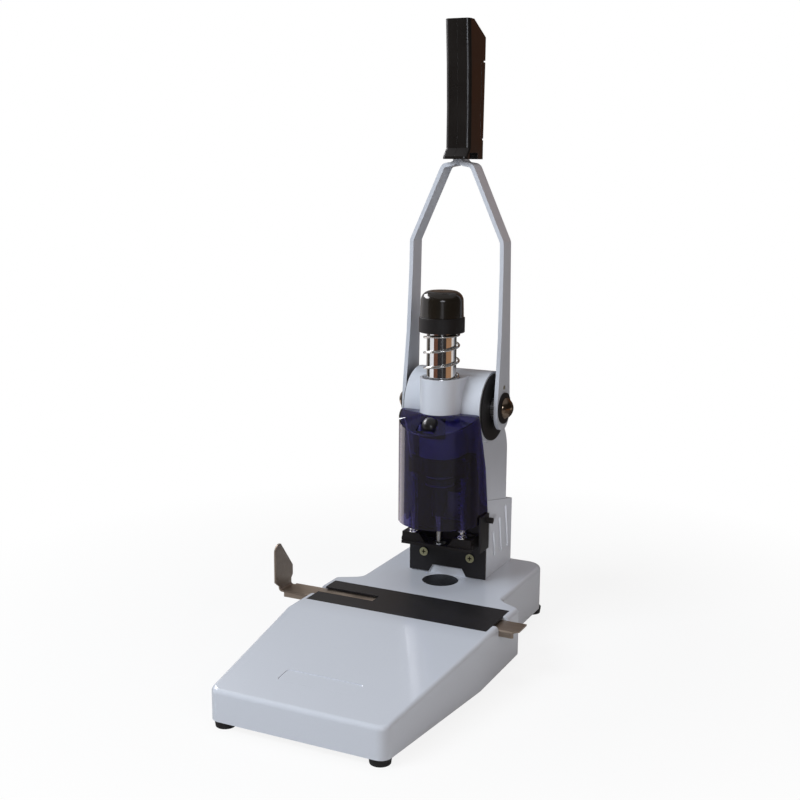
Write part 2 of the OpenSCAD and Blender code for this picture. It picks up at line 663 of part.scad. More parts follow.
module guard_knob() color("black") at(0, knob_y, knob_z) rotate([-90, 0, 0]) {
    intersection() {
        sphere(knob_r);
        bar(knob_r, -knob_r, knob_lift);
    }
    bar(stud_r, 0, knob_lift + seat + guard_t + gap + stud_deep);
}
thumb_head_r = 3;
thumb_head_l = 6.6;
module thumb_screw() color("black") at(ear_in + stop_t, thumb_y, thumb_z) rotate([0, 90, 0]) {
    bar(thumb_head_r, 0, thumb_head_l);
    bar(small_screw_r, -stop_t - gap - guard_t, thumb_head_l / 2);
}

// Hub discs close the barrel and carry the bronze bushes of the axle
bush_wall = 3;
bush_r = axle_r + bush_wall;
bush_in = disc_in - disc_t;
module hub_discs() color("black") both_sides() at(0, axle_back, axle_h) rotate([0, 90, 0]) difference() {
    union() {
        bar(disc_r, disc_in, disc_in + disc_t);
        bar(bush_r + web_t, bush_in, disc_in + over);
    }
    bar(bush_r + run, -wide, wide);
}
module axle_bushes() color([0.7, 0.5, 0.25]) both_sides() at(0, axle_back, axle_h) rotate([0, 90, 0])
    tube(bush_r, axle_r + run, bush_in, disc_in + disc_t - gap);

// Power inlet and mains switch in the base's rear wall
inlet_deep = 22;
flange_w = 4;
module power_inlet() color("black") at(rear_x, rear_back, rear_z) rotate([90, 0, 0]) difference() {
    union() {
        at(0, 0, -flange_w / 2) linear_extrude(flange_w / 2)
            rounded(inlet_w + flange_w, inlet_h + flange_w, flange_w / 2);
        at(0, 0, 0) linear_extrude(inlet_deep) square([inlet_w - seat, inlet_h - seat], center = true);
    }
    at(0, 0, -flange_w) linear_extrude(inlet_deep)
        rounded(inlet_w - flange_w, inlet_h - flange_w, flange_w / 2);
}
module switch_frame() color("black") at(-rear_x, rear_back, rear_z) rotate([90, 0, 0]) difference() {
    union() {
        at(0, 0, -flange_w / 2) linear_extrude(flange_w / 2)
            rounded(switch_w + flange_w, switch_h + flange_w, flange_w / 4);
        at(0, 0, 0) linear_extrude(inlet_deep) square([switch_w - seat, switch_h - seat], center = true);
    }
    at(0, 0, -flange_w) linear_extrude(flange_w + rocker_deep)
        square([rocker_w + 2 * gap, rocker_h + 2 * gap], center = true);
}
rocker_w = switch_w - flange_w;
rocker_h = switch_h - 0.75 * flange_w;
rocker_deep = 9;
rocker_tilt = 10;
rocker_r = rocker_w / 2;
rocker_y = rear_back - rocker_deep * 0.3;
rocker_lift = 3.2;
module switch_rocker() color("black") at(-rear_x, rocker_y, rear_z) intersection() {
    bar(rocker_r, -rocker_h / 2, rocker_h / 2);
    rotate(-rocker_tilt) at(0, 0, -rocker_h) linear_extrude(2 * rocker_h) polygon([[0, rocker_lift],
        [-rocker_r, rocker_lift + rocker_r * tan(rocker_tilt)], [-rocker_r * 0.7, -rocker_deep * 0.6],
        [rocker_r * 0.7, -rocker_deep * 0.6], [rocker_r, rocker_lift + rocker_r * tan(rocker_tilt)]]);
}

// Driver board on two spacers at the column's back, inside the lower box
board_w = 54;
board_h = 46;
board_t = 1.6;
board_low = 8;
board_stand = 3.6;
part_h = 6;                             // the parts on the board stand this high
coil_r = 5;
module control_board() color([0.1, 0.35, 0.2]) {
    block(-board_w / 2, board_w / 2, column_back + board_stand, column_back + board_stand + board_t,
        board_low, board_low + board_h);
    both_sides() for (z = [0.15, 0.85]) at(board_w * 0.42, column_back, board_low + board_h * z)
        rotate([-90, 0, 0]) bar(small_screw_r * 1.5, 0, board_stand + board_t / 2);
    block(-board_w * 0.35, -board_w * 0.05, column_back + board_stand, column_back + board_stand
        + board_t + part_h,
        board_low + board_h * 0.1, board_low + board_h * 0.5);
    at(board_w * 0.2, column_back + board_stand, board_low + board_h * 0.3) rotate([-90, 0, 0])
        bar(coil_r, 0, board_t + part_h);
}

// Lever axle with squared ends, keyed pinion, and the spacers that hold the arms off the hub discs
axle_end = disc_in + disc_t + gap;
square_half = axle_r * 0.75;
thread_r = 4;
washer_r = 15.5;
washer_t = 1.9;
nut_r = 11;
nut_h = 8;
key_half = 2;
arm_out = arm_gap + arm_t;
module along_axle() at(0, axle_back, axle_h) rotate([0, 90, 0]) children();
module lever_axle() color("silver") along_axle() difference() {
    union() {
        bar(axle_r, -axle_end, axle_end);
        at(0, 0, run - arm_out) linear_extrude(2 * (arm_out - run)) intersection() {
            square(2 * square_half, center = true);
            circle(axle_r);
        }
        bar(thread_r, -arm_out - washer_t - nut_h * 0.6, arm_out + washer_t + nut_h * 0.6);
    }
    block(-axle_r - over, key_half - axle_r, -key_half - run, key_half + run, -pinion_w / 2, pinion_w / 2);
}
module pinion_key() color("silver") along_axle()
    block(-axle_r - key_half, key_half - axle_r, -key_half, key_half, seat - pinion_w / 2, pinion_w / 2
        - seat);
pressure = 20;
base_r = pitch_r * cos(pressure);
root_r = pitch_r - 1.25 * gear_module;
function involute(r) = sqrt(pow(r / base_r, 2) - 1) * 180 / PI - acos(base_r / r);
function half_tooth(r) = 90 / pinion_teeth + involute(pitch_r) - involute(max(r, base_r));
function flank(side) = [for (i = [0 : 6]) let (r = base_r + (gear_r - base_r) * (side > 0 ? 6 - i : i) / 6)
    [r, side * half_tooth(r)]];
function tooth_points() = concat([[root_r, -half_tooth(base_r)]], flank(-1), flank(1),
    [[root_r, half_tooth(base_r)]]);
module pinion() color("silver") difference() {
    across(-pinion_w / 2, pinion_w / 2) translate([axle_back, axle_h]) rotate(180)
        polygon([for (k = [0 : pinion_teeth - 1], q = tooth_points())
            q.x * [cos(q.y + 360 * k / pinion_teeth), sin(q.y + 360 * k / pinion_teeth)]]);
    along_axle() bar(axle_r + run, -wide, wide);
    along_axle() block(-axle_r - key_half - seat, 0, -key_half - run, key_half + run, -wide, wide);
}
spacer_r = 13;
module arm_spacers() color("silver") both_sides() along_axle()
    tube(spacer_r, axle_r + run, axle_end, arm_gap - run);

// Lever arms: flat bars cranked inwards to meet at the grip, where their tangs lie side by side
eye_drop = 5.7;
arm_taper = 1.5;
arm_rear = axle_back + eye_r - arm_taper;
arm_bend_r = 1.5 * arm_t;
neck_x = 3.75 * arm_t;
tang_x = arm_t / 2 + run;
grip_low = join_h + arm_t;
tang_top = grip_low + grip_len * 0.75;
tang_y = arm_rear - arm_w / 2;
tang_half = arm_w * 0.36;
arm_x = arm_gap + arm_t / 2;
eye_low = axle_h - eye_drop - eye_r;
pin_z = axle_h + 1.25 * eye_r;
pin_r = 1.6;
grip_screw_shares = [0.1, 0.6];
function arm_path() = bent([[arm_x, eye_low - over], [arm_x, axle_h + 2 * eye_r],
    [arm_x - arm_lean, bend_h],
    [neck_x, join_h - arm_t / 2], [tang_x, join_h], [tang_x, tang_top]], arm_bend_r, 6);
module arm_side() {
    polygon(concat(arc(axle_back, axle_h - eye_drop, eye_r, 180, 360, 16),
        [[axle_back + eye_r, axle_h + eye_r / 2],
        [arm_rear, axle_h + 2 * eye_r], [arm_rear, join_h + arm_t], [arm_rear - arm_w, join_h + arm_t],
        [arm_rear - arm_w, axle_h + 8.3 * eye_r], [arm_rear - 1.17 * arm_w, axle_h + 4.3 * eye_r],
        [axle_back - 0.8 * eye_r, axle_h + 2 * eye_r], [axle_back - eye_r, axle_h + eye_r / 2]]));
    translate([tang_y - tang_half, join_h]) square([2 * tang_half, tang_top - join_h]);
}
module arm() difference() {
    intersection() {
        rotate([90, 0, 0]) at(0, 0, -wide / 4) linear_extrude(wide / 2) ribbon(arm_path(), arm_t);
        across(0, wide / 4) arm_side();
    }
    along_axle() at(0, 0, arm_gap - over) linear_extrude(arm_t + 2 * over)
        square(2 * (square_half + run), center = true);
    at(arm_gap - over, axle_back, pin_z) rotate([0, 90, 0]) bar(pin_r + run, 0, arm_t + 2 * over);
    for (s = grip_screw_shares) at(-over, tang_y, grip_low + grip_len * s) rotate([0, 90, 0])
        bar(screw_r + seat, 0, arm_t + 2 * over);
}
module lever_arm_right() color("gainsboro") arm();
module lever_arm_left() color("gainsboro") mirror([1, 0, 0]) arm();
module arm_pins() color("silver") both_sides() at(arm_gap - seat, axle_back, pin_z) rotate([0, 90, 0]) {
    bar(pin_r, 0, arm_t + 2 * seat);
    at(0, 0, arm_t + seat) cylinder(r1 = 1.4 * pin_r, r2 = pin_r, h = pin_r / 2);
}
module arm_washers() color("black") both_sides() along_axle()
    tube(washer_r, thread_r + run, arm_out, arm_out + washer_t);
dome_r = (nut_r * nut_r + nut_h * nut_h) / (2 * nut_h);
module dome_nuts() color([0.62, 0.58, 0.5]) both_sides() along_axle() at(0, 0, arm_out + washer_t)
    difference() {
    intersection() {
        bar(nut_r, 0, nut_h);
        at(0, 0, nut_h - dome_r) sphere(dome_r);
    }
    bar(thread_r + run, -over, nut_h * 0.6 + seat);
}

// Grip: two moulded shells screwed together over the tangs, with a finger stop at the foot,
// a front that leans out towards the top and a top that falls away to the rear
grip_set = 7;
grip_front = tang_y - grip_d / 2 + grip_set;
grip_back = grip_front + grip_d;
grip_top = grip_low + grip_len;
grip_lip = 7.5;                         // the finger stop stands out by this much
grip_lean = 5;                          // the top of the front stands out by this much
grip_swell = 2.5;                       // the rear stands out by this much under the top
grip_corner = 4.5;
grip_back_corner = 2;
grip_step = 15;                         // degrees from point to point round a corner
grip_flat = 7;                          // depth of the level part of the top
grip_fall = 14;                         // drop of the top to the rear
grip_slant = atan(grip_fall / (grip_d - grip_flat));
// Each level of the grip: height as a share of its length, how far its front and its rear stand out
grip_levels = [[0, grip_lip, 0], [0.02, grip_lip, 0], [0.08, 0, 0], [0.36, 0, grip_swell / 3],
    [0.68, grip_lean / 3, 0.8 * grip_swell], [1, grip_lean, grip_swell]];
insert_shares = [0.147, 0.715];         // ends of the insert line in the rear
insert_deep = 3.4;
insert_h = 1.6;
insert_back = 9;
insert_y = grip_back - insert_back;
groove = 0.5;
// Right half of the grip's section at one level, counterclockwise from the joint at the front
function grip_ring(level) = let (y0 = grip_front - level[1], y1 = grip_back + level[2])
    concat([[seat / 2, y0]],
        [for (a = [-90 : grip_step : 0])
            [grip_w / 2 - grip_corner, y0 + grip_corner] + grip_corner * [cos(a), sin(a)]],
        [for (a = [0 : grip_step : 90])
            [grip_w / 2 - grip_back_corner, y1 - grip_back_corner] + grip_back_corner * [cos(a), sin(a)]],
        [[seat / 2, y1]]);
module grip_form() {
    count = len(grip_ring(grip_levels[0]));
    last = count * (len(grip_levels) - 1);
    points = [for (level = grip_levels, p = grip_ring(level)) [p.x, p.y, grip_low + grip_len * level[0]]];
    skin = [for (k = [0 : len(grip_levels) - 2], i = [0 : count - 1])
        let (a = k * count, b = a + count, n = (i + 1) % count)
        each [[a + i, b + i, b + n], [a + i, b + n, a + n]]];
    polyhedron(points, concat([[for (i = [0 : count - 1]) i]], skin,
        [[for (i = [count - 1 : -1 : 0]) last + i]]));
}
module grip_half() difference() {
    grip_form();
    at(0, grip_front + grip_flat, grip_top) rotate([-grip_slant, 0, 0])
        block(-over, grip_w, -over, wide, 0, wide);
    for (s = insert_shares) at(0, 0, grip_low + grip_len * s)
        block(-over, grip_w, grip_back - insert_deep, wide, -insert_h / 2, insert_h / 2);
    block(grip_w / 2 - groove, grip_w, insert_y, insert_y + groove, grip_low + grip_len * insert_shares[0],
        grip_low + grip_len * insert_shares[1]);
    block(-over, arm_t + 2 * run + seat, tang_y - tang_half - seat, tang_y + tang_half + seat,
        grip_low - over, tang_top + seat);
    block(-over, neck_x - arm_t / 2, arm_rear - arm_w - seat, arm_rear + seat, grip_low - over,
        join_h + arm_bend_r + arm_t);
    for (s = grip_screw_shares) at(0, tang_y, grip_low + grip_len * s) rotate([0, 90, 0]) children();
}
module grip_right() color([0.14, 0.13, 0.13]) grip_half() {
    bar(small_screw_r + seat, -over, grip_w * 0.35);
}
module grip_left() color([0.14, 0.13, 0.13]) mirror([1, 0, 0]) grip_half() {
    bar(small_screw_r + seat, -over, grip_w);
}
module grip_screws() color("silver") for (s = grip_screw_shares)
    at(-grip_w / 2, tang_y, grip_low + grip_len * s)
    rotate([0, 90, 0]) screw(small_screw_r, grip_w * 0.8, small_head_r, small_head_t / 2);

// Quill: chromed tube with the rack cut in its rear, which carries the chips up to the cap
play = 0.3;
spigot_r = 12;
spigot_h = 7;
quill_bore = 8;
rack_last = ceil(travel / tooth_pitch) + 2;
rack_top = axle_h + (rack_last + 0.5) * tooth_pitch;
rack_low = axle_h - 2.5 * tooth_pitch;
rack_root = rack_y - 1.25 * gear_module;
chip_wall = 2;
chip_bore = quill_r - chip_wall;
module rack_gap() polygon([[rack_root, -tooth_pitch / 4 - play / 2 + (rack_y - rack_root) * tan(pressure)],
    [quill_r, -tooth_pitch / 4 - play / 2 - (quill_r - rack_y) * tan(pressure)],
    [quill_r, tooth_pitch / 4 + play / 2 + (quill_r - rack_y) * tan(pressure)],
    [rack_root, tooth_pitch / 4 + play / 2 - (rack_y - rack_root) * tan(pressure)]]);
module quill() color([0.8, 0.8, 0.82]) difference() {
    at(0, drill_y, 0) union() {
        bar(quill_r, carriage_top, quill_top);
        bar(spigot_r, carriage_top - spigot_h, carriage_top + over);
    }
    at(0, drill_y, 0) bar(quill_bore + run, -over, wide);
    at(0, drill_y, 0) bar(chip_bore, rack_top + over, wide);
    block(-quill_r, quill_r, rack_y + gear_module, quill_r + over, rack_low, rack_top);
    for (k = [-2 : rack_last]) across(-quill_r, quill_r) translate([0, axle_h + k * tooth_pitch])
        rack_gap();
}
module stop_ring() color([0.13, 0.13, 0.13]) at(0, drill_y, 0)
    tube(ring_r, quill_r + run, ring_h, ring_h + ring_t);
cap_wall = 2.6;
cap_low = ring_h + ring_t;
cap_round = cap_r * 0.45;
cap_taper = cap_r * 0.02;
dimple_r = 2.4;
module cap_profile() polygon(concat([[quill_r + run, cap_low], [cap_r, cap_low]],
    arc(cap_r - cap_taper - cap_round, cap_low + cap_h - cap_round, cap_round, 5, 90, 10),
    [[dimple_r, cap_low + cap_h], [dimple_r / 2, cap_low + cap_h - dimple_r / 2],
        [0, cap_low + cap_h - dimple_r / 2],
    [0, cap_low + cap_h - dimple_r - cap_wall], [quill_r - cap_wall, cap_low + cap_h - dimple_r - cap_wall],
    [quill_r + run, quill_top + gap]]));
module chip_cap() color([0.06, 0.05, 0.05]) at(0, drill_y, 0) rotate_extrude() cap_profile();

// Springs: one unbroken tube of wire, with a closed turn at each end
curl_rings = 8;
wire_sides = 6;
dead_turns = 0.7;
dead_clear = 0.55;
function coil_z(t, turns, wire, low, high) = let (dead = wire + dead_clear, climb = high - low - wire - 2
    * dead_turns * dead)
    low + wire / 2 + (t < dead_turns ? t * dead
    : t < dead_turns + turns ? dead_turns * dead + (t - dead_turns) / turns * climb
    : dead_turns * dead + climb + (t - dead_turns - turns) * dead);
function coil_point(t, r, turns, wire, low, high) =
    [r * cos(360 * t), r * sin(360 * t), coil_z(t, turns, wire, low, high)];
function coil_count(turns) = ceil((turns + 2 * dead_turns) * curl_rings);
module coil(r, turns, wire, low, high) {
    count = coil_count(turns);
    last = turns + 2 * dead_turns;
    points = [for (i = [0 : count], s = [0 : wire_sides - 1]) let (t = last * i / count,
        c = coil_point(t, r, turns, wire, low, high), a = 360 * s / wire_sides)
        c + wire / 2 * [cos(a) * cos(360 * t), cos(a) * sin(360 * t), sin(a)]];
    skin = [for (i = [0 : count - 1], s = [0 : wire_sides - 1])
        let (a = i * wire_sides, b = a + wire_sides, n = (s + 1) % wire_sides)
        each [[a + s, b + s, a + n], [a + n, b + s, b + n]]];
    polyhedron(points, concat([[for (s = [0 : wire_sides - 1]) s]], skin,
        [[for (s = [wire_sides - 1 : -1 : 0]) count * wire_sides + s]]));
}
function coil_gap(r, turns, wire, low, high) = let (last = turns + 2 * dead_turns, steps = curl_rings)
    min([for (i = [0 : steps * last], j = [i + steps / 2 : steps * last]) norm(
        coil_point(i / steps, r, turns, wire, low, high)
            - coil_point(j / steps, r, turns, wire, low, high))]) - wire;
return_clear = 1.2;
return_r = quill_r + return_clear + return_wire / 2;
return_low = spring_floor + seat;
return_high = ring_h - seat;
module return_spring() color([0.75, 0.75, 0.75]) at(0, drill_y, 0)
    coil(return_r, return_turns, return_wire, return_low, return_high);
presser_clear = 1.6;
presser_r = rod_r + presser_wire / 2 + presser_clear;
collar_t = 1.2;
presser_spring_low = presser_top + collar_t + seat;
presser_spring_high = carriage_low - seat;
module presser_springs() color([0.75, 0.75, 0.75]) for (x = [-rod_x, rod_x]) at(x, rod_y, 0)
    coil(presser_r, presser_turns, presser_wire, presser_spring_low, presser_spring_high);
echo(return_spring_gap = coil_gap(return_r, return_turns, return_wire, return_low, return_high));
echo(presser_spring_gap = coil_gap(presser_r, presser_turns, presser_wire, presser_spring_low,
    presser_spring_high));

// Carriage plate: black block on the quill's foot, with lobes for the guide rods
// and a neck back to the motor
hub_r = 19;
lobe_r = 5.8;
bearing_r = 13;
bearing_t = 8;
upper_bearing_t = 5;
upper_bearing_z = axle_h + 2 * tooth_pitch;
post_r = 3.5;
post_clear = 3;
post_x = motor_r + post_clear;
post_y = motor_r * 0.6;
mount_half = post_x + 1.3 * post_r;
mount_reach = post_y + 1.3 * post_r;
module carriage_plan() {
    translate([0, drill_y]) circle(hub_r);
    for (x = [-rod_x, rod_x]) translate([x, rod_y]) circle(lobe_r);
    translate([-rod_x, rod_y - lobe_r]) square([2 * rod_x, 2 * lobe_r]);
    translate([-neck_half, drill_y]) square([2 * neck_half, motor_back - drill_y]);
    translate([-mount_half, motor_back - mount_reach]) square([2 * mount_half, 2 * mount_reach]);
}
module carriage_plate() color([0.12, 0.12, 0.13]) difference() {
    at(0, 0, carriage_low) linear_extrude(carriage_t) carriage_plan();
    at(0, drill_y, 0) bar(spigot_r + run, carriage_top - spigot_h - seat, carriage_top + over);
    at(0, drill_y, 0) bar(bearing_r + run, carriage_low - over, carriage_low + bearing_t);
    at(0, drill_y, 0) bar(quill_bore + run, carriage_low, carriage_top);
    for (x = [-rod_x, rod_x]) at(x, rod_y, 0) bar(rod_r + run, carriage_low - over, carriage_top + over);
}
module buffer_ring() color("black") at(0, drill_y, 0)
    tube(boss_r - 2 * over, quill_r + seat, carriage_top, carriage_top + buffer_t);
module spindle_bearings() color("silver") at(0, drill_y, 0) {
    tube(bearing_r, spindle_r + run, carriage_low, carriage_low + bearing_t - seat);
    tube(quill_bore, spindle_r + run, upper_bearing_z, upper_bearing_z + upper_bearing_t);
}

// Motor: hangs under the carriage in the column, and drives the spindle by a flat belt
shaft_r = 2.5;
bracket_t = 3;
bracket_drop = 3.5;
bracket_top = pulley_low - bracket_drop;
motor_top = bracket_top - bracket_t;
motor_low = motor_top - motor_len;
end_cap_t = 10;
can_t = 1.5;
belt_t = 1.6;
belt_w = 6;
belt_z = (pulley_low + pulley_top) / 2;
motor_screw_at = motor_r * 0.62;
module at_motor() at(0, motor_back, 0) children();
module motor_posts() color("silver") at_motor() both_sides() for (y = [-post_y, post_y])
    at(post_x, y, 0) bar(post_r, bracket_top, carriage_low);
module motor_bracket() color([0.12, 0.12, 0.13]) at_motor() difference() {
    block(-mount_half, mount_half, -mount_reach, mount_reach, motor_top, bracket_top);
    bar(2 * shaft_r, -over, wide);
    for (x = [-motor_screw_at, motor_screw_at]) at(x, 0, 0)
        bar(small_screw_r + seat, motor_top - over, wide);
}
module motor_screws() color("silver") at_motor() for (x = [-motor_screw_at, motor_screw_at])
    at(x, 0, bracket_top)
    rotate([180, 0, 0]) screw(small_screw_r, bracket_t + end_cap_t / 2, small_head_r, small_head_t);
module motor_end_cap() color([0.2, 0.2, 0.22]) at_motor() difference() {
    bar(motor_r, motor_top - end_cap_t, motor_top);
    bar(motor_r - 3 * can_t, motor_top - end_cap_t - over, motor_top - end_cap_t / 2 - can_t);
    bar(shaft_r + run, -over, wide);
    for (x = [-motor_screw_at, motor_screw_at]) at(x, 0, 0)
        bar(small_screw_r + seat, motor_top - end_cap_t / 2 - seat, wide);
}
module motor_can() color("silver") at_motor() difference() {
    bar(motor_r, motor_low, motor_top - end_cap_t);
    bar(motor_r - can_t, motor_low + can_t, wide);
    bar(shaft_r + run, -over, wide);
}
magnet_t = 3.6;
magnet_low = motor_low + 3 * can_t;
magnet_high = motor_top - end_cap_t - can_t;
module motor_magnets() color([0.3, 0.3, 0.32]) at_motor() difference() {
    tube(motor_r - can_t - run, motor_r - can_t - magnet_t, magnet_low, magnet_high);
    for (y = [-1, 1]) at(0, y * motor_r, 0)
        block(-motor_r / 2.5, motor_r / 2.5, -motor_r / 2, motor_r / 2, 0, wide);
}
armature_r = motor_r - can_t - magnet_t - 2 * gap;
slot_w = armature_r * 0.16;
module armature() color([0.55, 0.35, 0.2]) at_motor() {
    bar(shaft_r, motor_low - gap, pulley_top);
    difference() {
        bar(armature_r, magnet_low + can_t, magnet_high - can_t);
        for (k = [0 : 4]) rotate(72 * k) block(armature_r * 0.45, wide, -slot_w / 2, slot_w / 2, 0, wide);
    }
    bar(armature_r * 0.4, magnet_high - 2 * can_t, magnet_high + 2 * can_t);
}
module pulley(r, bore) difference() {
    rotate_extrude() polygon([[bore, pulley_low], [r + belt_t, pulley_low], [r + belt_t, pulley_low + over],
        [r - belt_t / 2 - seat, pulley_low + over], [r - belt_t / 2 - seat, pulley_top - over],
        [r + belt_t, pulley_top - over], [r + belt_t, pulley_top], [bore, pulley_top]]);
}
module motor_pulley() color("silver") at_motor() pulley(motor_pulley_r, shaft_r + run);
belt_reach = motor_back - drill_y;
belt_lean = asin((spindle_pulley_r - motor_pulley_r) / belt_reach);
module belt_plan(extra) polygon(concat(
    arc(0, belt_reach, motor_pulley_r + extra, belt_lean, 180 - belt_lean, 20),
    arc(0, 0, spindle_pulley_r + extra, 180 - belt_lean, 360 + belt_lean, 28)));
module drive_belt() color("black") at(0, drill_y, belt_z - belt_w / 2) linear_extrude(belt_w) difference() {
    belt_plan(belt_t / 2);
    belt_plan(-belt_t / 2);
}

// Hollow spindle, its pulley and chuck, and the hollow drill
chuck_top = pulley_low - pulley_gap;
chuck_len = 30;
chuck_low = chuck_top - chuck_len;
chuck_nose_r = drill_r * 1.8;
spindle_low = chuck_low + chuck_len * 0.55;
spindle_top = upper_bearing_z + upper_bearing_t + gap;
chip_r = drill_r * 0.7;
module spindle() color("silver") at(0, drill_y, 0) {
    tube(spindle_r, chip_r, spindle_low, spindle_top);
    tube(spindle_r + over, spindle_r, pulley_top + seat, carriage_low - seat);
}
module spindle_pulley() color("silver") at(0, drill_y, 0) pulley(spindle_pulley_r, spindle_r + run);
module drill_chuck() color([0.35, 0.35, 0.36]) at(0, drill_y, 0) rotate_extrude()
    polygon([[spindle_r + run, chuck_top],
    [chuck_r, chuck_top], [chuck_r, chuck_low + chuck_len * 0.2], [chuck_nose_r, chuck_low],
        [drill_r + run, chuck_low],
    [drill_r + run, spindle_low - seat], [spindle_r + run, spindle_low - seat]]);
module drill_bit() color("silver") at(0, drill_y, 0) rotate_extrude()
    polygon([[chip_r, drill_tip], [drill_r, drill_tip + drill_r],
    [drill_r, spindle_low - 2 * seat], [chip_r, spindle_low - 2 * seat]]);

// Presser foot: black shoe that clamps the stack, a plate bored for the drill with two blocks for the rods
presser_half = 37.5;
presser_back = 12;
presser_plate_t = 3;
presser_wall = 3.4;
nose_clear = 1.6;
nose_hole_r = chuck_nose_r + nose_clear;
presser_front = nose_hole_r - drill_y + 0.75 * presser_wall;
rod_wall = 2;
rod_front = rod_y - rod_r - rod_wall;
rod_back = rod_y + rod_r + rod_wall;
shoulder_low_x = 12;                    // the blocks' inner ends slope up between these two places
shoulder_high_x = 19;
clamp_z = presser_low + presser_h / 3;
clamp_head_r = 3;
clamp_head_t = 1.5;
module presser_foot() color([0.1, 0.1, 0.11]) difference() {
    union() {
        block(-presser_half, presser_half, -presser_front, presser_back, presser_low,
            presser_low + presser_plate_t);
        block(-presser_half, presser_half, presser_back - presser_wall, presser_back, presser_low,
            presser_top);
        both_sides() block(presser_half - presser_wall, presser_half, rod_front, presser_back, presser_low,
            presser_top);
        both_sides() at(0, rod_back, 0) rotate([90, 0, 0]) linear_extrude(rod_back - rod_front)
            polygon([[shoulder_low_x, presser_low], [presser_half, presser_low], [presser_half, presser_top],
                [shoulder_high_x, presser_top], [shoulder_low_x, presser_low + presser_plate_t]]);
    }
    at(0, drill_y, 0) bar(nose_hole_r, presser_low - over, wide);
    for (x = [-rod_x, rod_x]) at(x, rod_y, 0) bar(rod_r + run, presser_low + presser_plate_t / 2, wide);
    both_sides() at(0, rod_y, clamp_z) rotate([0, 90, 0]) bar(small_screw_r + seat, rod_x, wide);
}
module clamp_screws() color("black") both_sides() at(presser_half, rod_y, clamp_z) rotate([0, -90, 0])
    screw(small_screw_r, presser_half - rod_x - rod_r - seat, clamp_head_r, clamp_head_t);
clip_reach = 0.9;
clip_r = rod_r + clip_reach;
clip_t = 1;
rod_top = carriage_top + gap + 3 * clip_t;
module guide_rods() color([0.8, 0.8, 0.82]) for (x = [-rod_x, rod_x]) at(x, rod_y, 0) difference() {
    union() {
        bar(rod_r, presser_low + presser_plate_t / 2, rod_top);
        bar(presser_r + presser_wire / 2, presser_top, presser_top + collar_t);
    }
    tube(rod_r + over, rod_r * 0.75, carriage_top + gap, carriage_top + gap + clip_t);
}
module rod_clips() color("silver") for (x = [-rod_x, rod_x]) at(x, rod_y, 0)
    tube(clip_r, rod_r * 0.75 + run, carriage_top + gap + seat, carriage_top + gap + clip_t - seat);

base_casting();
bottom_plate();
rubber_feet();
foot_screws();
cutting_pad();
gauge_strip();
gauge_bar();
column_cover();
head_casting();
column_screws();
stop_plate();
stop_plate_screws();
guard();
guard_knob();
thumb_screw();
hub_discs();
axle_bushes();
power_inlet();
switch_frame();
switch_rocker();
control_board();
lever_axle();
pinion();
pinion_key();
arm_spacers();
lever_arm_left();
lever_arm_right();
arm_pins();
arm_washers();
dome_nuts();
grip_left();
grip_right();
grip_screws();
quill();
stop_ring();
chip_cap();
return_spring();
buffer_ring();
carriage_plate();
spindle_bearings();
motor_posts();
motor_bracket();
motor_screws();
motor_can();
motor_end_cap();
motor_magnets();
armature();
motor_pulley();
drive_belt();
spindle();
spindle_pulley();
drill_chuck();
drill_bit();
presser_foot();
clamp_screws();
guide_rods();
rod_clips();
presser_springs();
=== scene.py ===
import json
import math

import bmesh
import bpy
from mathutils import Matrix, Vector


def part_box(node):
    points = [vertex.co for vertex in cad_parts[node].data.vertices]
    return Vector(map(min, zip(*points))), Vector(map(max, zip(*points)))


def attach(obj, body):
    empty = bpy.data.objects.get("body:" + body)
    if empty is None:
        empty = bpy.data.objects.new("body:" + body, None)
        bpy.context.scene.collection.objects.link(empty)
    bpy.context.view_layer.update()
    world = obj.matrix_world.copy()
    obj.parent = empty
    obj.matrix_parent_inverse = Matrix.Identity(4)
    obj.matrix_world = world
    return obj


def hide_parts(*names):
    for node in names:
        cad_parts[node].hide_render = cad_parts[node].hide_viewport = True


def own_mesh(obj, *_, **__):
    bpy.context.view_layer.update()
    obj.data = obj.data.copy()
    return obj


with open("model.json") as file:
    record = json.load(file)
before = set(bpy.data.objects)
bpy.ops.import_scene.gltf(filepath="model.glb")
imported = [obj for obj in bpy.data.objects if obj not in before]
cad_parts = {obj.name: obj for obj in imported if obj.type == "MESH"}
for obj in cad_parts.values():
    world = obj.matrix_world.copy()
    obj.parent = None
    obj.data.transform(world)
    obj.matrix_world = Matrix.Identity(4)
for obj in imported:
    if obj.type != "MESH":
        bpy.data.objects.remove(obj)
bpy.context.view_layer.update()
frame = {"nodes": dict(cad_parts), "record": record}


# Camera: a long lens that stands to the right of the machine, a little above the head, turned round and
# down by the angles below and rolled by a fraction of a degree. Its place is in millimetres.
mm = 0.001
camera_stand = (477.61, -1079.42, 416.60)
camera_round = 25.917
camera_down = 11.056
camera_roll = 0.396
camera_lens = 54.745
sensor_width = 36
farthest_seen = 20

scene = bpy.context.scene
round_angle = math.radians(camera_round)
down_angle = math.radians(camera_down)
look = Vector((-math.sin(round_angle) * math.cos(down_angle), math.cos(round_angle) * math.cos(down_angle),
               -math.sin(down_angle)))
level = look.cross(Vector((0, 0, 1))).normalized()
facing = Matrix((level, level.cross(look), -look)).transposed()
facing = facing @ Matrix.Rotation(math.radians(camera_roll), 3, "Z")
camera = bpy.data.objects.new("camera", bpy.data.cameras.new("camera"))
camera.data.lens = camera_lens
camera.data.sensor_width = sensor_width
camera.data.clip_end = farthest_seen
camera.matrix_world = Matrix.Translation(Vector(camera_stand) * mm) @ facing.to_4x4()
scene.collection.objects.link(camera)
scene.camera = camera
scene.view_settings.view_transform = "Standard"


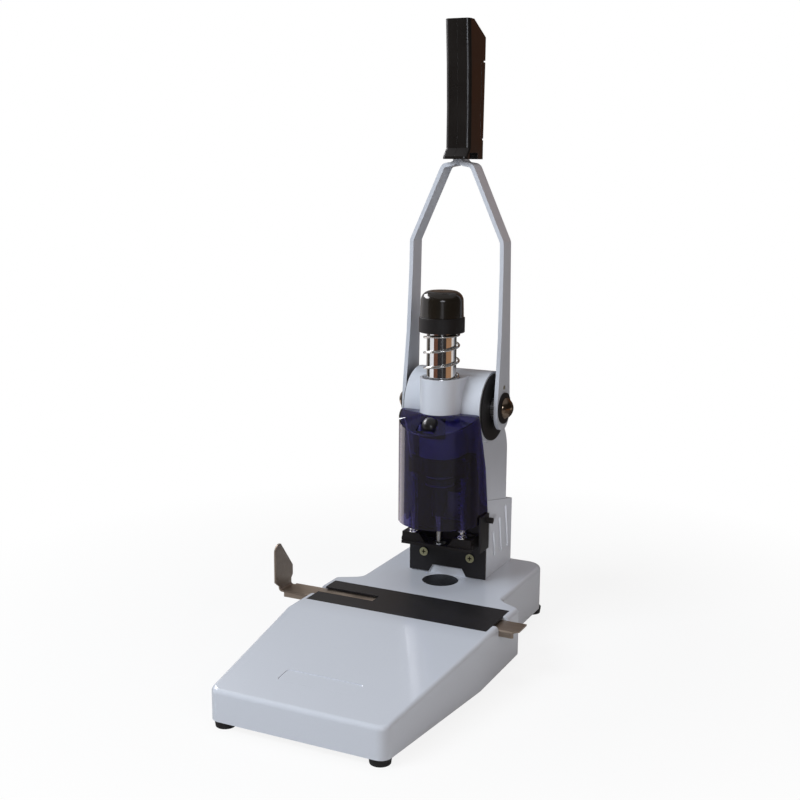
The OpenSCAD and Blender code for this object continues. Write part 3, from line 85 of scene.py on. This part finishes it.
# Base: one pressure casting, open below, with a rounded rim, a sloping front, a shallow recess on the slope
# and the bed of the gauge channel. Its white enamel is sprayed and baked: glossy, with a faint orange peel.
class Wire:
    """A number on its way between two nodes, so that a mask is written as a sum."""

    def __init__(self, bench, socket):
        self.bench = bench
        self.socket = socket

    def __add__(self, other):
        return self.bench.maths("ADD", self, other)

    def __sub__(self, other):
        return self.bench.maths("SUBTRACT", self, other)

    def __rsub__(self, other):
        return self.bench.maths("SUBTRACT", other, self)

    def __mul__(self, other):
        return self.bench.maths("MULTIPLY", self, other)

    def __truediv__(self, other):
        return self.bench.maths("DIVIDE", self, other)

    def __pow__(self, other):
        return self.bench.maths("POWER", self, other)

    def __gt__(self, other):
        return self.bench.maths("GREATER_THAN", self, other)

    __radd__ = __add__
    __rmul__ = __mul__

    def between(self, low, high, start=0.0, end=1.0):
        """Goes from start to end as the number goes from low to high, and no further."""
        made = self.bench.node("ShaderNodeMapRange", value=self, from_min=low, from_max=high,
                               to_min=start, to_max=end)
        return Wire(self.bench, made.outputs[0])


class Bench:
    """A tree of nodes, to which every node is added by one method."""

    def __init__(self, tree):
        self.tree = tree

    def join(self, socket, value):
        """Sets a socket to a constant, or links it to another node's output."""
        if isinstance(value, Wire):
            self.tree.links.new(value.socket, socket)
        elif isinstance(value, bpy.types.NodeSocket):
            self.tree.links.new(value, socket)
        elif socket.type == "RGBA":
            socket.default_value = (*value, 1.0)
        else:
            socket.default_value = value

    def node(self, kind, settings=None, sockets=None, **named):
        """Adds a node: its settings come first, then its sockets, by their place or by their name."""
        made = self.tree.nodes.new(kind)
        for name, value in (settings or {}).items():
            setattr(made, name, value)
        for place, value in (sockets or {}).items():
            self.join(made.inputs[place], value)
        for name, value in named.items():
            self.join(made.inputs[name.replace("_", " ").title()], value)
        return made

    def maths(self, operation, *numbers):
        made = self.node("ShaderNodeMath", {"operation": operation}, dict(enumerate(numbers)))
        return Wire(self, made.outputs[0])


def srgb(*levels):
    """A colour given by its levels of red, green and blue in 0..255, as the shader wants it."""
    return tuple(((v / 255 + 0.055) / 1.055) ** 2.4 if v > 10 else v / 255 / 12.92 for v in levels)


class Finish(Bench):
    """A surface finish: one shader whose inputs are set by name. Its patterns lie on the piece."""

    def __init__(self, name, **constants):
        self.material = bpy.data.materials.new(name)
        self.material.use_nodes = True
        super().__init__(self.material.node_tree)
        self.shader = self.tree.nodes["Principled BSDF"]
        self.place = self.node("ShaderNodeTexCoord").outputs["Object"]
        self.set(**constants)

    def set(self, **values):
        for name, value in values.items():
            self.join(self.shader.inputs[name.replace("_", " ").title().replace("Ior", "IOR")], value)

    def axis(self, number):
        """How far along x, y or z a point of the piece lies."""
        return Wire(self, self.node("ShaderNodeSeparateXYZ", vector=self.place).outputs[number])

    def reach(self):
        """How far a point of the piece is from the upright line through the origin."""
        x = self.axis(0)
        y = self.axis(1)
        return (x * x + y * y) ** 0.5

    def stretched(self, x, y, z):
        return self.node("ShaderNodeMapping", vector=self.place, scale=(x, y, z)).outputs[0]

    def noise(self, scale, detail=3.0, roughness=0.5, along=None):
        made = self.node("ShaderNodeTexNoise", vector=along or self.place, scale=scale, detail=detail,
                         roughness=roughness)
        return Wire(self, made.outputs[0])

    def cells(self, scale):
        made = self.node("ShaderNodeTexVoronoi", vector=self.place, scale=scale)
        return Wire(self, made.outputs["Distance"])

    def tint(self, amount, dark, light):
        """The colour dark where amount is 0 and light where it is 1."""
        return self.node("ShaderNodeMix", {"data_type": "RGBA"}, {0: amount, 6: dark, 7: light}).outputs[2]

    def vary(self, mask, dark, light, sleek, dull, low=0.3, high=0.7):
        """Lets the colour go from dark to light, and the roughness from sleek to dull, as the mask does."""
        self.set(base_color=self.tint(mask, srgb(*dark), srgb(*light)),
                 roughness=mask.between(low, high, sleek, dull))

    def bump(self, height, depth, strength=1.0):
        made = self.node("ShaderNodeBump", strength=strength, distance=depth, height=height)
        self.set(normal=made.outputs[0])


enamel = Finish("white_enamel", specular_ior_level=0.5, coat_weight=0.35, coat_roughness=0.08, roughness=0.27)
peel = enamel.noise(scale=700, detail=2.0)
cloud = enamel.noise(scale=14)
enamel.set(base_color=enamel.tint(cloud * 0.4 + peel * 0.6, srgb(209, 214, 223), srgb(202, 207, 216)))
enamel.bump(peel, depth=0.02 * mm, strength=0.1)

body_of = {name: body for body, names in frame["record"]["behaviour"]["bodies"].items() for name in names}
same_point = 1e-6
flat_angle = math.radians(0.3)
sharp_angle = math.radians(32)
face_weight = 80


def settled(piece):
    """The plain mesh that a piece's modifiers and nodes end in."""
    return bpy.data.meshes.new_from_object(piece.evaluated_get(bpy.context.evaluated_depsgraph_get()))


def stand_for(piece, node):
    """Lets a piece take the place of a modelled node, on its body."""
    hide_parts(node)
    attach(piece, body_of[node])
    return piece


def deburr(node, finish, ease, steps=2):
    """Breaks the sharp edges of a modelled piece by ease millimetres and gives it its finish."""
    mesh = frame["nodes"][node].data.copy()
    form = bmesh.new()
    form.from_mesh(mesh)
    bmesh.ops.remove_doubles(form, verts=form.verts, dist=same_point)
    bmesh.ops.dissolve_limit(form, angle_limit=flat_angle, verts=form.verts, edges=form.edges)
    for face in form.faces:
        face.smooth = True
    form.to_mesh(mesh)
    form.free()
    mesh.materials.clear()
    mesh.materials.append(finish.material)
    piece = bpy.data.objects.new(node + "_finished", mesh)
    scene.collection.objects.link(piece)
    edge = piece.modifiers.new("ease", "BEVEL")
    edge.width = ease * mm
    edge.segments = steps
    edge.angle_limit = sharp_angle
    edge.use_clamp_overlap = True
    weigh = piece.modifiers.new("weigh", "WEIGHTED_NORMAL")
    weigh.weight = face_weight
    weigh.keep_sharp = True
    shape = settled(piece)
    piece.modifiers.clear()
    piece.data = shape
    stand_for(piece, node)


deburr("base_casting", enamel, ease=0.25)


# Underside: a folded zinc-plated sheet screwed up into the casting's pillars through four turned rubber
# feet, each hollowed for the head of its screw. The zinc is matt, with the soft streaks of rolled sheet.
zinc = Finish("zinc_plate", metallic=1.0)
rolled = zinc.noise(scale=90, detail=4.0, roughness=0.6, along=zinc.stretched(1, 0.04, 1))
zinc.vary(rolled, dark=(168, 170, 170), light=(198, 199, 196), sleek=0.38, dull=0.55)
deburr("bottom_plate", zinc, ease=0.25)

foot_rubber = Finish("foot_rubber")
grain = foot_rubber.noise(scale=900)
foot_rubber.vary(grain, dark=(20, 20, 21), light=(34, 33, 33), sleek=0.62, dull=0.78)
foot_rubber.bump(grain, depth=0.1 * mm, strength=0.4)
deburr("rubber_feet", foot_rubber, ease=0.5)

nickel = Finish("nickel_screw", metallic=1.0)
worn = nickel.noise(scale=1200, detail=4.0, roughness=0.65)
nickel.vary(worn, dark=(150, 148, 130), light=(196, 194, 176), sleek=0.26, dull=0.42)
deburr("foot_screws", nickel, ease=0.3)


# Cutting pad: a turned disc of black nylon that lies loose in its pocket, level with the table, scuffed and
# marked by the rings of the lathe. The rings follow a wave, whose turn is given in radians for a metre.
pad_nylon = Finish("pad_nylon", specular_ior_level=0.3)
ring_turn = 6000
ring = pad_nylon.maths("SINE", pad_nylon.reach() * ring_turn) * 0.5 + 0.5
scuff = pad_nylon.noise(scale=420, detail=4.0, roughness=0.7)
pad_nylon.vary(scuff, dark=(14, 15, 20), light=(24, 26, 31), sleek=0.4, dull=0.62, high=0.75)
pad_nylon.bump(ring * 0.5 + scuff, depth=0.05 * mm, strength=0.6)
deburr("cutting_pad", pad_nylon, ease=0.3)


# Gauge: a black enamelled strip let into the table covers the channel, and under it slides a bar of bare
# rolled steel with a folded front edge, its left end bent up into the stop that the paper is pushed against.
black_enamel = Finish("black_enamel", specular_ior_level=0.35)
texture = black_enamel.noise(scale=1500, roughness=0.6)
patch = black_enamel.noise(scale=30)
black_enamel.set(base_color=black_enamel.tint(patch, srgb(26, 26, 28), srgb(33, 32, 34)),
                 roughness=patch.between(0.3, 0.7, 0.36, 0.46) + texture * 0.08)
black_enamel.bump(texture, depth=0.06 * mm, strength=0.5)
deburr("gauge_strip", black_enamel, ease=0.3)

bare_steel = Finish("bare_rolled_steel", metallic=0.85)
mill = bare_steel.noise(scale=260, detail=5.0, roughness=0.65, along=bare_steel.stretched(0.06, 1, 1))
stain = bare_steel.noise(scale=38, detail=5.0, roughness=0.62)
bare_steel.set(base_color=bare_steel.tint(mill * 0.5 + stain * 0.5, srgb(128, 112, 99), srgb(182, 169, 155)),
               roughness=stain.between(0.3, 0.7, 0.36, 0.56))
bare_steel.bump(mill, depth=0.04 * mm, strength=0.4)
deburr("gauge_bar", bare_steel, ease=0.25)


# Column: the casting that carries the barrel and the quill's boss stands in a moulded box with three vent
# slots on each side, and four screws hold it on the base. Box and casting have the base's enamel.
deburr("column_cover", enamel, ease=0.35)
deburr("head_casting", enamel, ease=0.8)
deburr("column_screws", nickel, ease=0.3)


# Stop plate: a steel plate in black enamel across the column's foot, notched behind the pad, with an ear
# bent forward on its right. Two yellow passivated cross-headed screws hold it, each cross painted dark as
# painted shade down in its recess.
deburr("stop_plate", black_enamel, ease=0.35)
head_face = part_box("stop_plate_screws")[0].y
cross_starts = 0.45 * mm
passivated = Finish("passivated_screw", metallic=0.9)
worn_zinc = passivated.noise(scale=1200, detail=4.0, roughness=0.65)
# Painted shade: every point deeper than cross_starts behind the head's face is painted dark, standing in for
# the shade inside the cross recess.
painted_cross_shade = passivated.axis(1) > head_face + cross_starts
passivated.set(base_color=passivated.tint(painted_cross_shade, srgb(186, 184, 146), srgb(44, 42, 30)),
               roughness=worn_zinc.between(0.3, 0.7, 0.3, 0.45))
deburr("stop_plate_screws", passivated, ease=0.35)


# Guard: a clear moulding tinted dark blue, polished inside and out, that hangs from the boss. A black ball
# knob in front and a black thumb screw at the side hold it.
tinted = Finish("tinted_guard", base_color=srgb(78, 74, 136), roughness=0.03, specular_ior_level=0.6,
                transmission_weight=1.0, ior=1.46)
deburr("guard", tinted, ease=1.0, steps=3)

gloss_black = Finish("gloss_black", coat_weight=0.15, coat_roughness=0.2)
swirl = gloss_black.noise(scale=60)
gloss_black.vary(swirl, dark=(14, 13, 14), light=(24, 23, 23), sleek=0.3, dull=0.38)
deburr("guard_knob", gloss_black, ease=0.2)

moulded_black = Finish("moulded_black", specular_ior_level=0.3)
pore = moulded_black.noise(scale=1300, roughness=0.6)
shade = moulded_black.noise(scale=26)
moulded_black.set(base_color=moulded_black.tint(shade, srgb(23, 21, 21), srgb(31, 29, 29)),
                  roughness=shade.between(0.3, 0.7, 0.42, 0.52) + pore * 0.08)
moulded_black.bump(pore, depth=0.08 * mm, strength=0.5)
deburr("thumb_screw", moulded_black, ease=0.3)


# Hub: a moulded black disc closes each end of the barrel and holds a pressed-in bush of sintered bronze, in
# which the axle turns. The bronze is dull and full of fine pores.
deburr("hub_discs", moulded_black, ease=0.5)
bronze = Finish("sintered_bronze", metallic=1.0)
pores = bronze.noise(scale=1600, roughness=0.7)
bronze.vary(pores, dark=(150, 108, 60), light=(196, 150, 92), sleek=0.34, dull=0.5)
deburr("axle_bushes", bronze, ease=0.2)


# Mains side: the inlet and the rocker switch are black mouldings pressed into the base's rear wall, the
# rocker polished. The motor's driver board, green lacquer over copper tracks, stands behind the column.
deburr("power_inlet", moulded_black, ease=0.3)
deburr("switch_frame", moulded_black, ease=0.3)
deburr("switch_rocker", gloss_black, ease=0.3)

board = Finish("coated_board", coat_weight=0.3)
track = board.cells(scale=300)
board.set(base_color=board.tint(track.between(0.1, 0.3), srgb(18, 74, 40), srgb(34, 112, 62)),
          roughness=track.between(0.1, 0.4, 0.3, 0.45))
deburr("control_board", board, ease=0.1)


# Lever: a ground axle, keyed to the pinion, carries two flat steel arms in the same enamel that crank in to
# meet at the grip. A black washer and a domed nut, darkened like smoke, hold each arm on the axle, and a
# small bright pin goes through it above.
ground_steel = Finish("ground_steel", metallic=1.0)
lathe = ground_steel.noise(scale=800, detail=4.0, roughness=0.6, along=ground_steel.stretched(0.05, 1, 1))
ground_steel.vary(lathe, dark=(160, 160, 160), light=(200, 200, 198), sleek=0.2, dull=0.34)
deburr("lever_axle", ground_steel, ease=0.25)
deburr("pinion", ground_steel, ease=0.15)
deburr("pinion_key", ground_steel, ease=0.25)
deburr("arm_spacers", ground_steel, ease=0.25)
deburr("lever_arm_left", enamel, ease=0.5)
deburr("lever_arm_right", enamel, ease=0.5)
deburr("arm_pins", nickel, ease=0.15)
deburr("arm_washers", moulded_black, ease=0.25)

dome_steel = Finish("dome_steel", metallic=1.0)
smoke = dome_steel.noise(scale=120, detail=4.0, roughness=0.6)
dome_steel.vary(smoke, dark=(104, 88, 74), light=(146, 132, 116), sleek=0.14, dull=0.26)
deburr("dome_nuts", dome_steel, ease=0.4)


# Grip: two moulded black shells that close over the arms' ends and are drawn together by two screws. Their
# skin has a fine grain and is rubbed smooth in patches.
grip_black = Finish("grip_black")
leather = grip_black.cells(scale=900)
rub = grip_black.noise(scale=30, detail=4.0)
grip_black.vary(rub, dark=(20, 18, 17), light=(29, 26, 24), sleek=0.26, dull=0.34)
grip_black.bump(leather, depth=0.05 * mm, strength=0.3)
deburr("grip_left", grip_black, ease=0.3)
deburr("grip_right", grip_black, ease=0.3)
deburr("grip_screws", nickel, ease=0.2)


# Quill: a hard-chromed tube with the rack cut in its back. On its top sit a moulded black stop ring and the
# polished black cap that collects the chips, and a rubber ring at its foot softens the end of its way up.
hard_chrome = Finish("hard_chrome", metallic=1.0)
haze = hard_chrome.noise(scale=500, detail=4.0, roughness=0.6)
hard_chrome.vary(haze, dark=(214, 214, 214), light=(232, 231, 229), sleek=0.05, dull=0.13, low=0.35)
deburr("quill", hard_chrome, ease=0.2)
deburr("stop_ring", moulded_black, ease=0.6)
cap_black = Finish("cap_black", coat_weight=0.3, coat_roughness=0.12)
flow = cap_black.noise(scale=40)
cap_black.vary(flow, dark=(26, 22, 17), light=(32, 28, 22), sleek=0.16, dull=0.22)
deburr("chip_cap", cap_black, ease=0.3)
deburr("buffer_ring", foot_rubber, ease=0.4)


# Carriage: a plate in black enamel on the quill's foot carries the spindle's bearings. Four turned posts of
# aluminium hang from it and hold a black bracket with the motor, a zinc-plated can with a moulded cap.
deburr("carriage_plate", black_enamel, ease=0.5)
deburr("spindle_bearings", ground_steel, ease=0.3)
aluminium = Finish("turned_aluminium", metallic=1.0)
turned = aluminium.noise(scale=700, roughness=0.6, along=aluminium.stretched(1, 1, 6))
aluminium.vary(turned, dark=(176, 178, 180), light=(206, 207, 208), sleek=0.26, dull=0.4)
deburr("motor_posts", aluminium, ease=0.25)
deburr("motor_pulley", aluminium, ease=0.25)
deburr("spindle_pulley", aluminium, ease=0.25)
deburr("motor_bracket", black_enamel, ease=0.3)
deburr("motor_screws", nickel, ease=0.2)
deburr("motor_can", zinc, ease=0.5)
deburr("motor_end_cap", moulded_black, ease=0.4)


# Inside the motor: two dark sintered magnets glued into the can, and between them the armature, its wires
# of lacquered copper wound lengthways.
ferrite = Finish("ferrite")
speckle = ferrite.noise(scale=1400)
ferrite.vary(speckle, dark=(38, 38, 40), light=(62, 62, 64), sleek=0.55, dull=0.75)
deburr("motor_magnets", ferrite, ease=0.3)

copper = Finish("copper_winding", metallic=0.8)
strand = copper.noise(scale=900, detail=2.0, along=copper.stretched(1, 1, 0.08))
copper.vary(strand, dark=(120, 62, 36), light=(190, 112, 70), sleek=0.3, dull=0.5)
deburr("armature", copper, ease=0.3)


# Belt: a flat endless band of black rubber, dull from its woven back. It is slipped over the motor's small
# pulley and the spindle's larger one.
belt_rubber = Finish("belt_rubber")
weave = belt_rubber.noise(scale=1500)
belt_rubber.vary(weave, dark=(22, 22, 23), light=(40, 40, 41), sleek=0.6, dull=0.75)
deburr("drive_belt", belt_rubber, ease=0.2)


# Spindle: a ground steel tube, open down its middle for the chips, with a black-oxide chuck at its foot
# that grips the hollow drill.
deburr("spindle", ground_steel, ease=0.2)
black_oxide = Finish("black_oxide", metallic=0.9)
oxide = black_oxide.noise(scale=300, detail=4.0, roughness=0.6)
black_oxide.vary(oxide, dark=(52, 52, 54), light=(82, 82, 84), sleek=0.28, dull=0.42)
deburr("drill_chuck", black_oxide, ease=0.4)
deburr("drill_bit", ground_steel, ease=0.05)


# Presser: a moulded black shoe with two chromed rods, each clamped in it by a black screw. The rods slide in
# the carriage, and a black clip at the top of each keeps it from dropping out.
deburr("presser_foot", moulded_black, ease=0.5)
deburr("guide_rods", hard_chrome, ease=0.2)
deburr("rod_clips", black_oxide, ease=0.1)
deburr("clamp_screws", moulded_black, ease=0.3)


# Springs: hard-drawn wire wound cold, with closed turns at both ends. The return spring stands in the boss's
# counterbore under the stop ring, and a thin spring stands on each guide rod between presser and carriage.
spring_wire = Finish("spring_wire", metallic=1.0)
draw = spring_wire.noise(scale=900)
spring_wire.vary(draw, dark=(186, 185, 182), light=(220, 219, 216), sleek=0.12, dull=0.24)


def wound_tree():
    """Nodes that wind a round wire up a stem, its end turns closed up, once or as a pair side by side."""
    group = bpy.data.node_groups.new("wound_spring", "GeometryNodeTree")
    for name, kind, value in (("Middle", "Vector", (0, 0, 0)), ("Spread", "Float", 0.0),
                              ("Radius", "Float", 0.01), ("Wire", "Float", 0.001), ("Low", "Float", 0.0),
                              ("High", "Float", 0.1), ("Turns", "Float", 3.0), ("Closed Turns", "Float", 0.7),
                              ("Closed Pitch", "Float", 0.002), ("Steps A Turn", "Float", 48.0),
                              ("Sides", "Int", 12)):
        socket = group.interface.new_socket(name, in_out="INPUT", socket_type="NodeSocket" + kind)
        socket.default_value = value
    group.interface.new_socket("Finish", in_out="INPUT", socket_type="NodeSocketMaterial")
    group.interface.new_socket("Geometry", in_out="OUTPUT", socket_type="NodeSocketGeometry")
    bench = Bench(group)
    given = bench.node("NodeGroupInput").outputs
    wire = {name: Wire(bench, given[name]) for name in given.keys() if name}
    radius, low, high, turns = wire["Radius"], wire["Low"], wire["High"], wire["Turns"]
    closed, pitch, thick = wire["Closed Turns"], wire["Closed Pitch"], wire["Wire"]

    total = turns + closed * 2
    stem = bench.node("GeometryNodeCurvePrimitiveLine")
    path = bench.node("GeometryNodeResampleCurve", curve=stem.outputs[0], count=total * wire["Steps A Turn"])
    along = Wire(bench, bench.node("GeometryNodeSplineParameter").outputs["Factor"]) * total
    climb = high - low - thick - closed * pitch * 2
    working = bench.maths("MINIMUM", bench.maths("MAXIMUM", along - closed, 0.0), turns)
    dead = along - working
    height = low + thick * 0.5 + dead * pitch + working / turns * climb
    angle = along * (2 * math.pi)
    spot = bench.node("ShaderNodeCombineXYZ", x=radius * bench.maths("COSINE", angle),
                      y=radius * bench.maths("SINE", angle), z=height)
    coil = bench.node("GeometryNodeSetPosition", geometry=path.outputs[0], position=spot.outputs[0])
    ring = bench.node("GeometryNodeCurvePrimitiveCircle", resolution=given["Sides"], radius=thick * 0.5)
    skin = bench.node("GeometryNodeCurveToMesh", curve=coil.outputs[0], profile_curve=ring.outputs[0],
                      fill_caps=True)
    smooth = bench.node("GeometryNodeSetShadeSmooth", geometry=skin.outputs[0]).outputs[0]

    pair = bench.node("GeometryNodeJoinGeometry")
    for side in (-1.0, 1.0):
        offset = bench.node("ShaderNodeCombineXYZ", x=wire["Spread"] * side, y=0.0, z=0.0)
        place = bench.node("ShaderNodeVectorMath", {"operation": "ADD"},
                           {0: given["Middle"], 1: offset.outputs[0]})
        moved = bench.node("GeometryNodeTransform", {}, {0: smooth}, translation=place.outputs[0])
        bench.join(pair.inputs[0], moved.outputs[0])
    single = bench.node("GeometryNodeTransform", {}, {0: smooth}, translation=given["Middle"])
    one = bench.node("GeometryNodeSwitch", {"input_type": "GEOMETRY"},
                     {"False": single.outputs[0], "True": pair.outputs[0]}, switch=wire["Spread"] > 0.0)
    real = bench.node("GeometryNodeRealizeInstances", geometry=one.outputs[0])
    painted = bench.node("GeometryNodeSetMaterial", geometry=real.outputs[0], material=given["Finish"])
    bench.node("NodeGroupOutput", {}, {0: painted.outputs[0]})
    return group


def grow(tree, name, **inputs):
    """Runs a tree of nodes on an empty piece with these inputs, and keeps the mesh that it grows."""
    seed = bpy.data.objects.new(name + "_seed", bpy.data.meshes.new(name + "_seed"))
    scene.collection.objects.link(seed)
    step = seed.modifiers.new("grow", "NODES")
    step.node_group = tree
    known = {item.name: item.identifier for item in tree.interface.items_tree if item.in_out == "INPUT"}
    for title, value in inputs.items():
        step[known[title.replace("_", " ").title()]] = value
    bpy.context.view_layer.update()
    mesh = settled(seed)
    bpy.data.objects.remove(seed)
    piece = bpy.data.objects.new(name, mesh)
    scene.collection.objects.link(piece)
    return piece


winding_tree = wound_tree()
travel = {joint["name"]: joint["range_m"][1] for joint in frame["record"]["behaviour"]["joints"]
          if "range_m" in joint}


def spring(name, node, joint, wire, held_low, **winding):
    """Winds a spring, or a pair of them, in the space of the modelled one."""
    low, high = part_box(node)
    middle = (low + high) / 2
    half = (high - low) / 2
    radius = half.y - wire / 2
    apart = half.x - half.y
    piece = grow(winding_tree, name, middle=(0, middle.y, 0), spread=apart if apart > wire else 0.0,
                 radius=radius, wire=wire, low=low.z, high=high.z, finish=spring_wire.material, **winding)
    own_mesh(stand_for(piece, node), joint, axis=(0, 0, 1), anchor=(0, 0, low.z if held_low else high.z),
              keep=1 - travel[joint] / (high.z - low.z))


spring("return_coil", "return_spring", "quill_slide", wire=2.3 * mm, held_low=True, turns=3.0,
       closed_pitch=2.85 * mm, sides=16)
spring("presser_coils", "presser_springs", "presser_slide", wire=1.1 * mm, held_low=False, turns=13.0,
       closed_pitch=1.65 * mm, steps_a_turn=24.0, sides=8)


# Floor: pale paper that keeps the machine's shadow near it and fades to plain white further out. To light
# that bounces it is a little darker than to the camera, so that it throws less back up.
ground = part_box("rubber_feet")[0].z
floor_size = 60
bpy.ops.mesh.primitive_plane_add(size=floor_size, location=(0, 0, ground))
floor = bpy.context.object
floor.name = "studio_floor"
paper = Finish("studio_paper", roughness=0.9, specular_ior_level=0.0)
seen = paper.node("ShaderNodeLightPath").outputs["Is Camera Ray"]
paper.set(base_color=paper.tint(seen, (0.68, 0.68, 0.68), (0.86, 0.86, 0.86)))
glow = paper.node("ShaderNodeEmission", color=(1, 1, 1), strength=1.0)
away = paper.reach().between(0.25, 0.6, 0.86, 1.0)
mixed = paper.node("ShaderNodeMixShader", {}, {0: Wire(paper, seen) * away, 1: paper.shader.outputs[0],
                                               2: glow.outputs[0]})
paper.join(paper.tree.nodes["Material Output"].inputs[0], mixed.outputs[0])
floor.data.materials.append(paper.material)


# Surroundings: plain white where the camera looks past the machine or through its guard, and a dim warm
# room in every other way.
world = bpy.data.worlds.new("surround")
scene.world = world
world.use_nodes = True
sky = Bench(world.node_tree)
room = sky.tree.nodes["Background"]
sky.join(room.inputs[0], (1.0, 0.90, 0.84))
sky.join(room.inputs[1], 0.17)
white = sky.node("ShaderNodeBackground", color=(1, 1, 1), strength=1.0)
ray = sky.node("ShaderNodeLightPath").outputs
clear = sky.maths("MAXIMUM", ray["Is Camera Ray"], ray["Is Transmission Ray"])
blend = sky.node("ShaderNodeMixShader", {}, {0: clear, 1: room.outputs[0], 2: white.outputs[0]})
sky.join(sky.tree.nodes["World Output"].inputs[0], blend.outputs[0])


# Mirrored room: boards round the machine that only polished surfaces show, in three rings, each with the
# colours that start at a bearing. Bearings turn from the machine's left over its front to its right.
ring_radius = 1.1
near_floor = 0.3
low_edge = 0.12
ring_top = 1.1
floor_tones = ((0, 0.5, 0.46, 0.44), (36, 0.40, 0.36, 0.34), (100, 0.44, 0.41, 0.40),
               (150, 0.24, 0.21, 0.19), (200, 0.13, 0.11, 0.10), (240, 0.06, 0.05, 0.045),
               (300, 0.6, 0.55, 0.52), (330, 1.9, 1.75, 1.7))
low_tones = ((0, 0.05, 0.045, 0.04), (14, 0.95, 0.95, 1.0), (40, 1.0, 1.0, 1.05), (52, 0.16, 0.07, 0.045),
             (84, 0.03, 0.028, 0.03), (118, 0.10, 0.10, 0.105), (126, 0.035, 0.03, 0.03),
             (150, 0.40, 0.22, 0.12), (196, 0.75, 0.72, 0.70), (232, 0.06, 0.055, 0.05),
             (300, 0.30, 0.27, 0.25), (345, 0.05, 0.045, 0.04))
high_tones = ((0, 0.65, 0.63, 0.65), (36, 0.07, 0.055, 0.045), (84, 0.05, 0.045, 0.04),
              (225, 0.14, 0.10, 0.08), (300, 0.30, 0.27, 0.25), (330, 0.65, 0.63, 0.65))
full_turn = 360
board_steps = 4


def mirrored(name, turned_by, wide, foot, head, tone):
    """A curved board that only polished surfaces see, from foot to head, each a radius and a height."""
    form = bmesh.new()
    edges = []
    for step in range(board_steps + 1):
        bearing = math.radians(180 + turned_by + wide * step / board_steps)
        edges.append([form.verts.new((radius * math.cos(bearing), radius * math.sin(bearing), z))
                      for radius, z in (foot, head)])
    for a, b in zip(edges, edges[1:]):
        form.faces.new((a[0], b[0], b[1], a[1]))
    mesh = bpy.data.meshes.new(name)
    form.to_mesh(mesh)
    form.free()
    piece = bpy.data.objects.new(name, mesh)
    scene.collection.objects.link(piece)
    for kind in ("camera", "diffuse", "transmission", "shadow", "volume_scatter"):
        setattr(piece, "visible_" + kind, False)
    glowing = Finish(name, base_color=(0, 0, 0), roughness=1.0, emission_color=tone, emission_strength=1.0,
                     specular_ior_level=0.0)
    mesh.materials.append(glowing.material)


rings = (("floor", floor_tones, (near_floor, ground + mm), (ring_radius, ground + mm)),
         ("low", low_tones, (ring_radius, ground), (ring_radius, low_edge)),
         ("high", high_tones, (ring_radius, low_edge), (ring_radius, ring_top)))
for ring, tones, foot, head in rings:
    for (turned_by, *tone), (next_one, *_) in zip(tones, tones[1:] + ((full_turn,),)):
        mirrored(f"{ring}_{turned_by}", turned_by, next_one - turned_by, foot, head, tone)


# Panels: the bright windows of that room and one dim reddish board, hung just inside the rings, and its
# ceiling. Each row gives a bearing and a width in degrees, a lower and an upper edge in metres, and a colour.
panel_radius = 1.05
panels = ((108, 14, 0.12, 0.40, (0.6, 0.6, 0.66)), (108, 18, 0.40, 0.525, (10, 10.5, 11.5)),
          (108, 18, 0.525, 0.70, (1.1, 1.1, 1.2)), (330, 54, 0.70, 1.05, (14, 14, 14.5)),
          (236, 30, 0.42, 0.75, (0.18, 0.07, 0.035)))
for number, (turned_by, wide, low, high, tone) in enumerate(panels):
    mirrored(f"panel_{number}", turned_by, wide, (panel_radius, low), (panel_radius, high), tone)

ceiling_height = 1.6
ceiling_hole = 0.01
ceiling_reach = 1.8
mirrored("mirrored_ceiling", 0, full_turn, (ceiling_hole, ceiling_height), (ceiling_reach, ceiling_height),
         (0.36, 0.35, 0.36))


# Lamps: a soft window at the front left, a weak lamp above, a warm one at the right, and a narrow beam on
# the column's vent slots. Polished surfaces don't show them.
beam_blend = 0.6


def lamp(name, place, aim, size, power, color, cone=None):
    """A square lamp, or a round one that throws a narrow cone, given in degrees."""
    light = bpy.data.lights.new(name, "SPOT" if cone else "AREA")
    light.energy = power
    light.color = color
    if cone:
        light.shadow_soft_size = size
        light.spot_size = math.radians(cone)
        light.spot_blend = beam_blend
    else:
        light.size = size
    holder = bpy.data.objects.new(name, light)
    holder.location = place
    holder.rotation_euler = (Vector(aim) - Vector(place)).to_track_quat("-Z", "Y").to_euler()
    scene.collection.objects.link(holder)
    holder.visible_glossy = False


lamp("window", (-0.9, -1.5, 1.5), aim=(0, 0, 0.1), size=1.0, power=35, color=(0.88, 0.94, 1.0))
lamp("ceiling", (-0.1, 0.1, 1.9), aim=(0, 0, 0), size=1.0, power=6.5, color=(0.92, 0.96, 1.0))
lamp("lamp_right", (1.4, -0.9, 0.9), aim=(0, 0, 0.18), size=0.8, power=6.0, color=(1.0, 0.92, 0.88))
lamp("lamp_vents", (0.68, -1.95, 0.42), aim=(0.04, 0.07, 0.05), size=0.03, power=105, color=(1.0, 0.97, 0.96),
     cone=2.9)
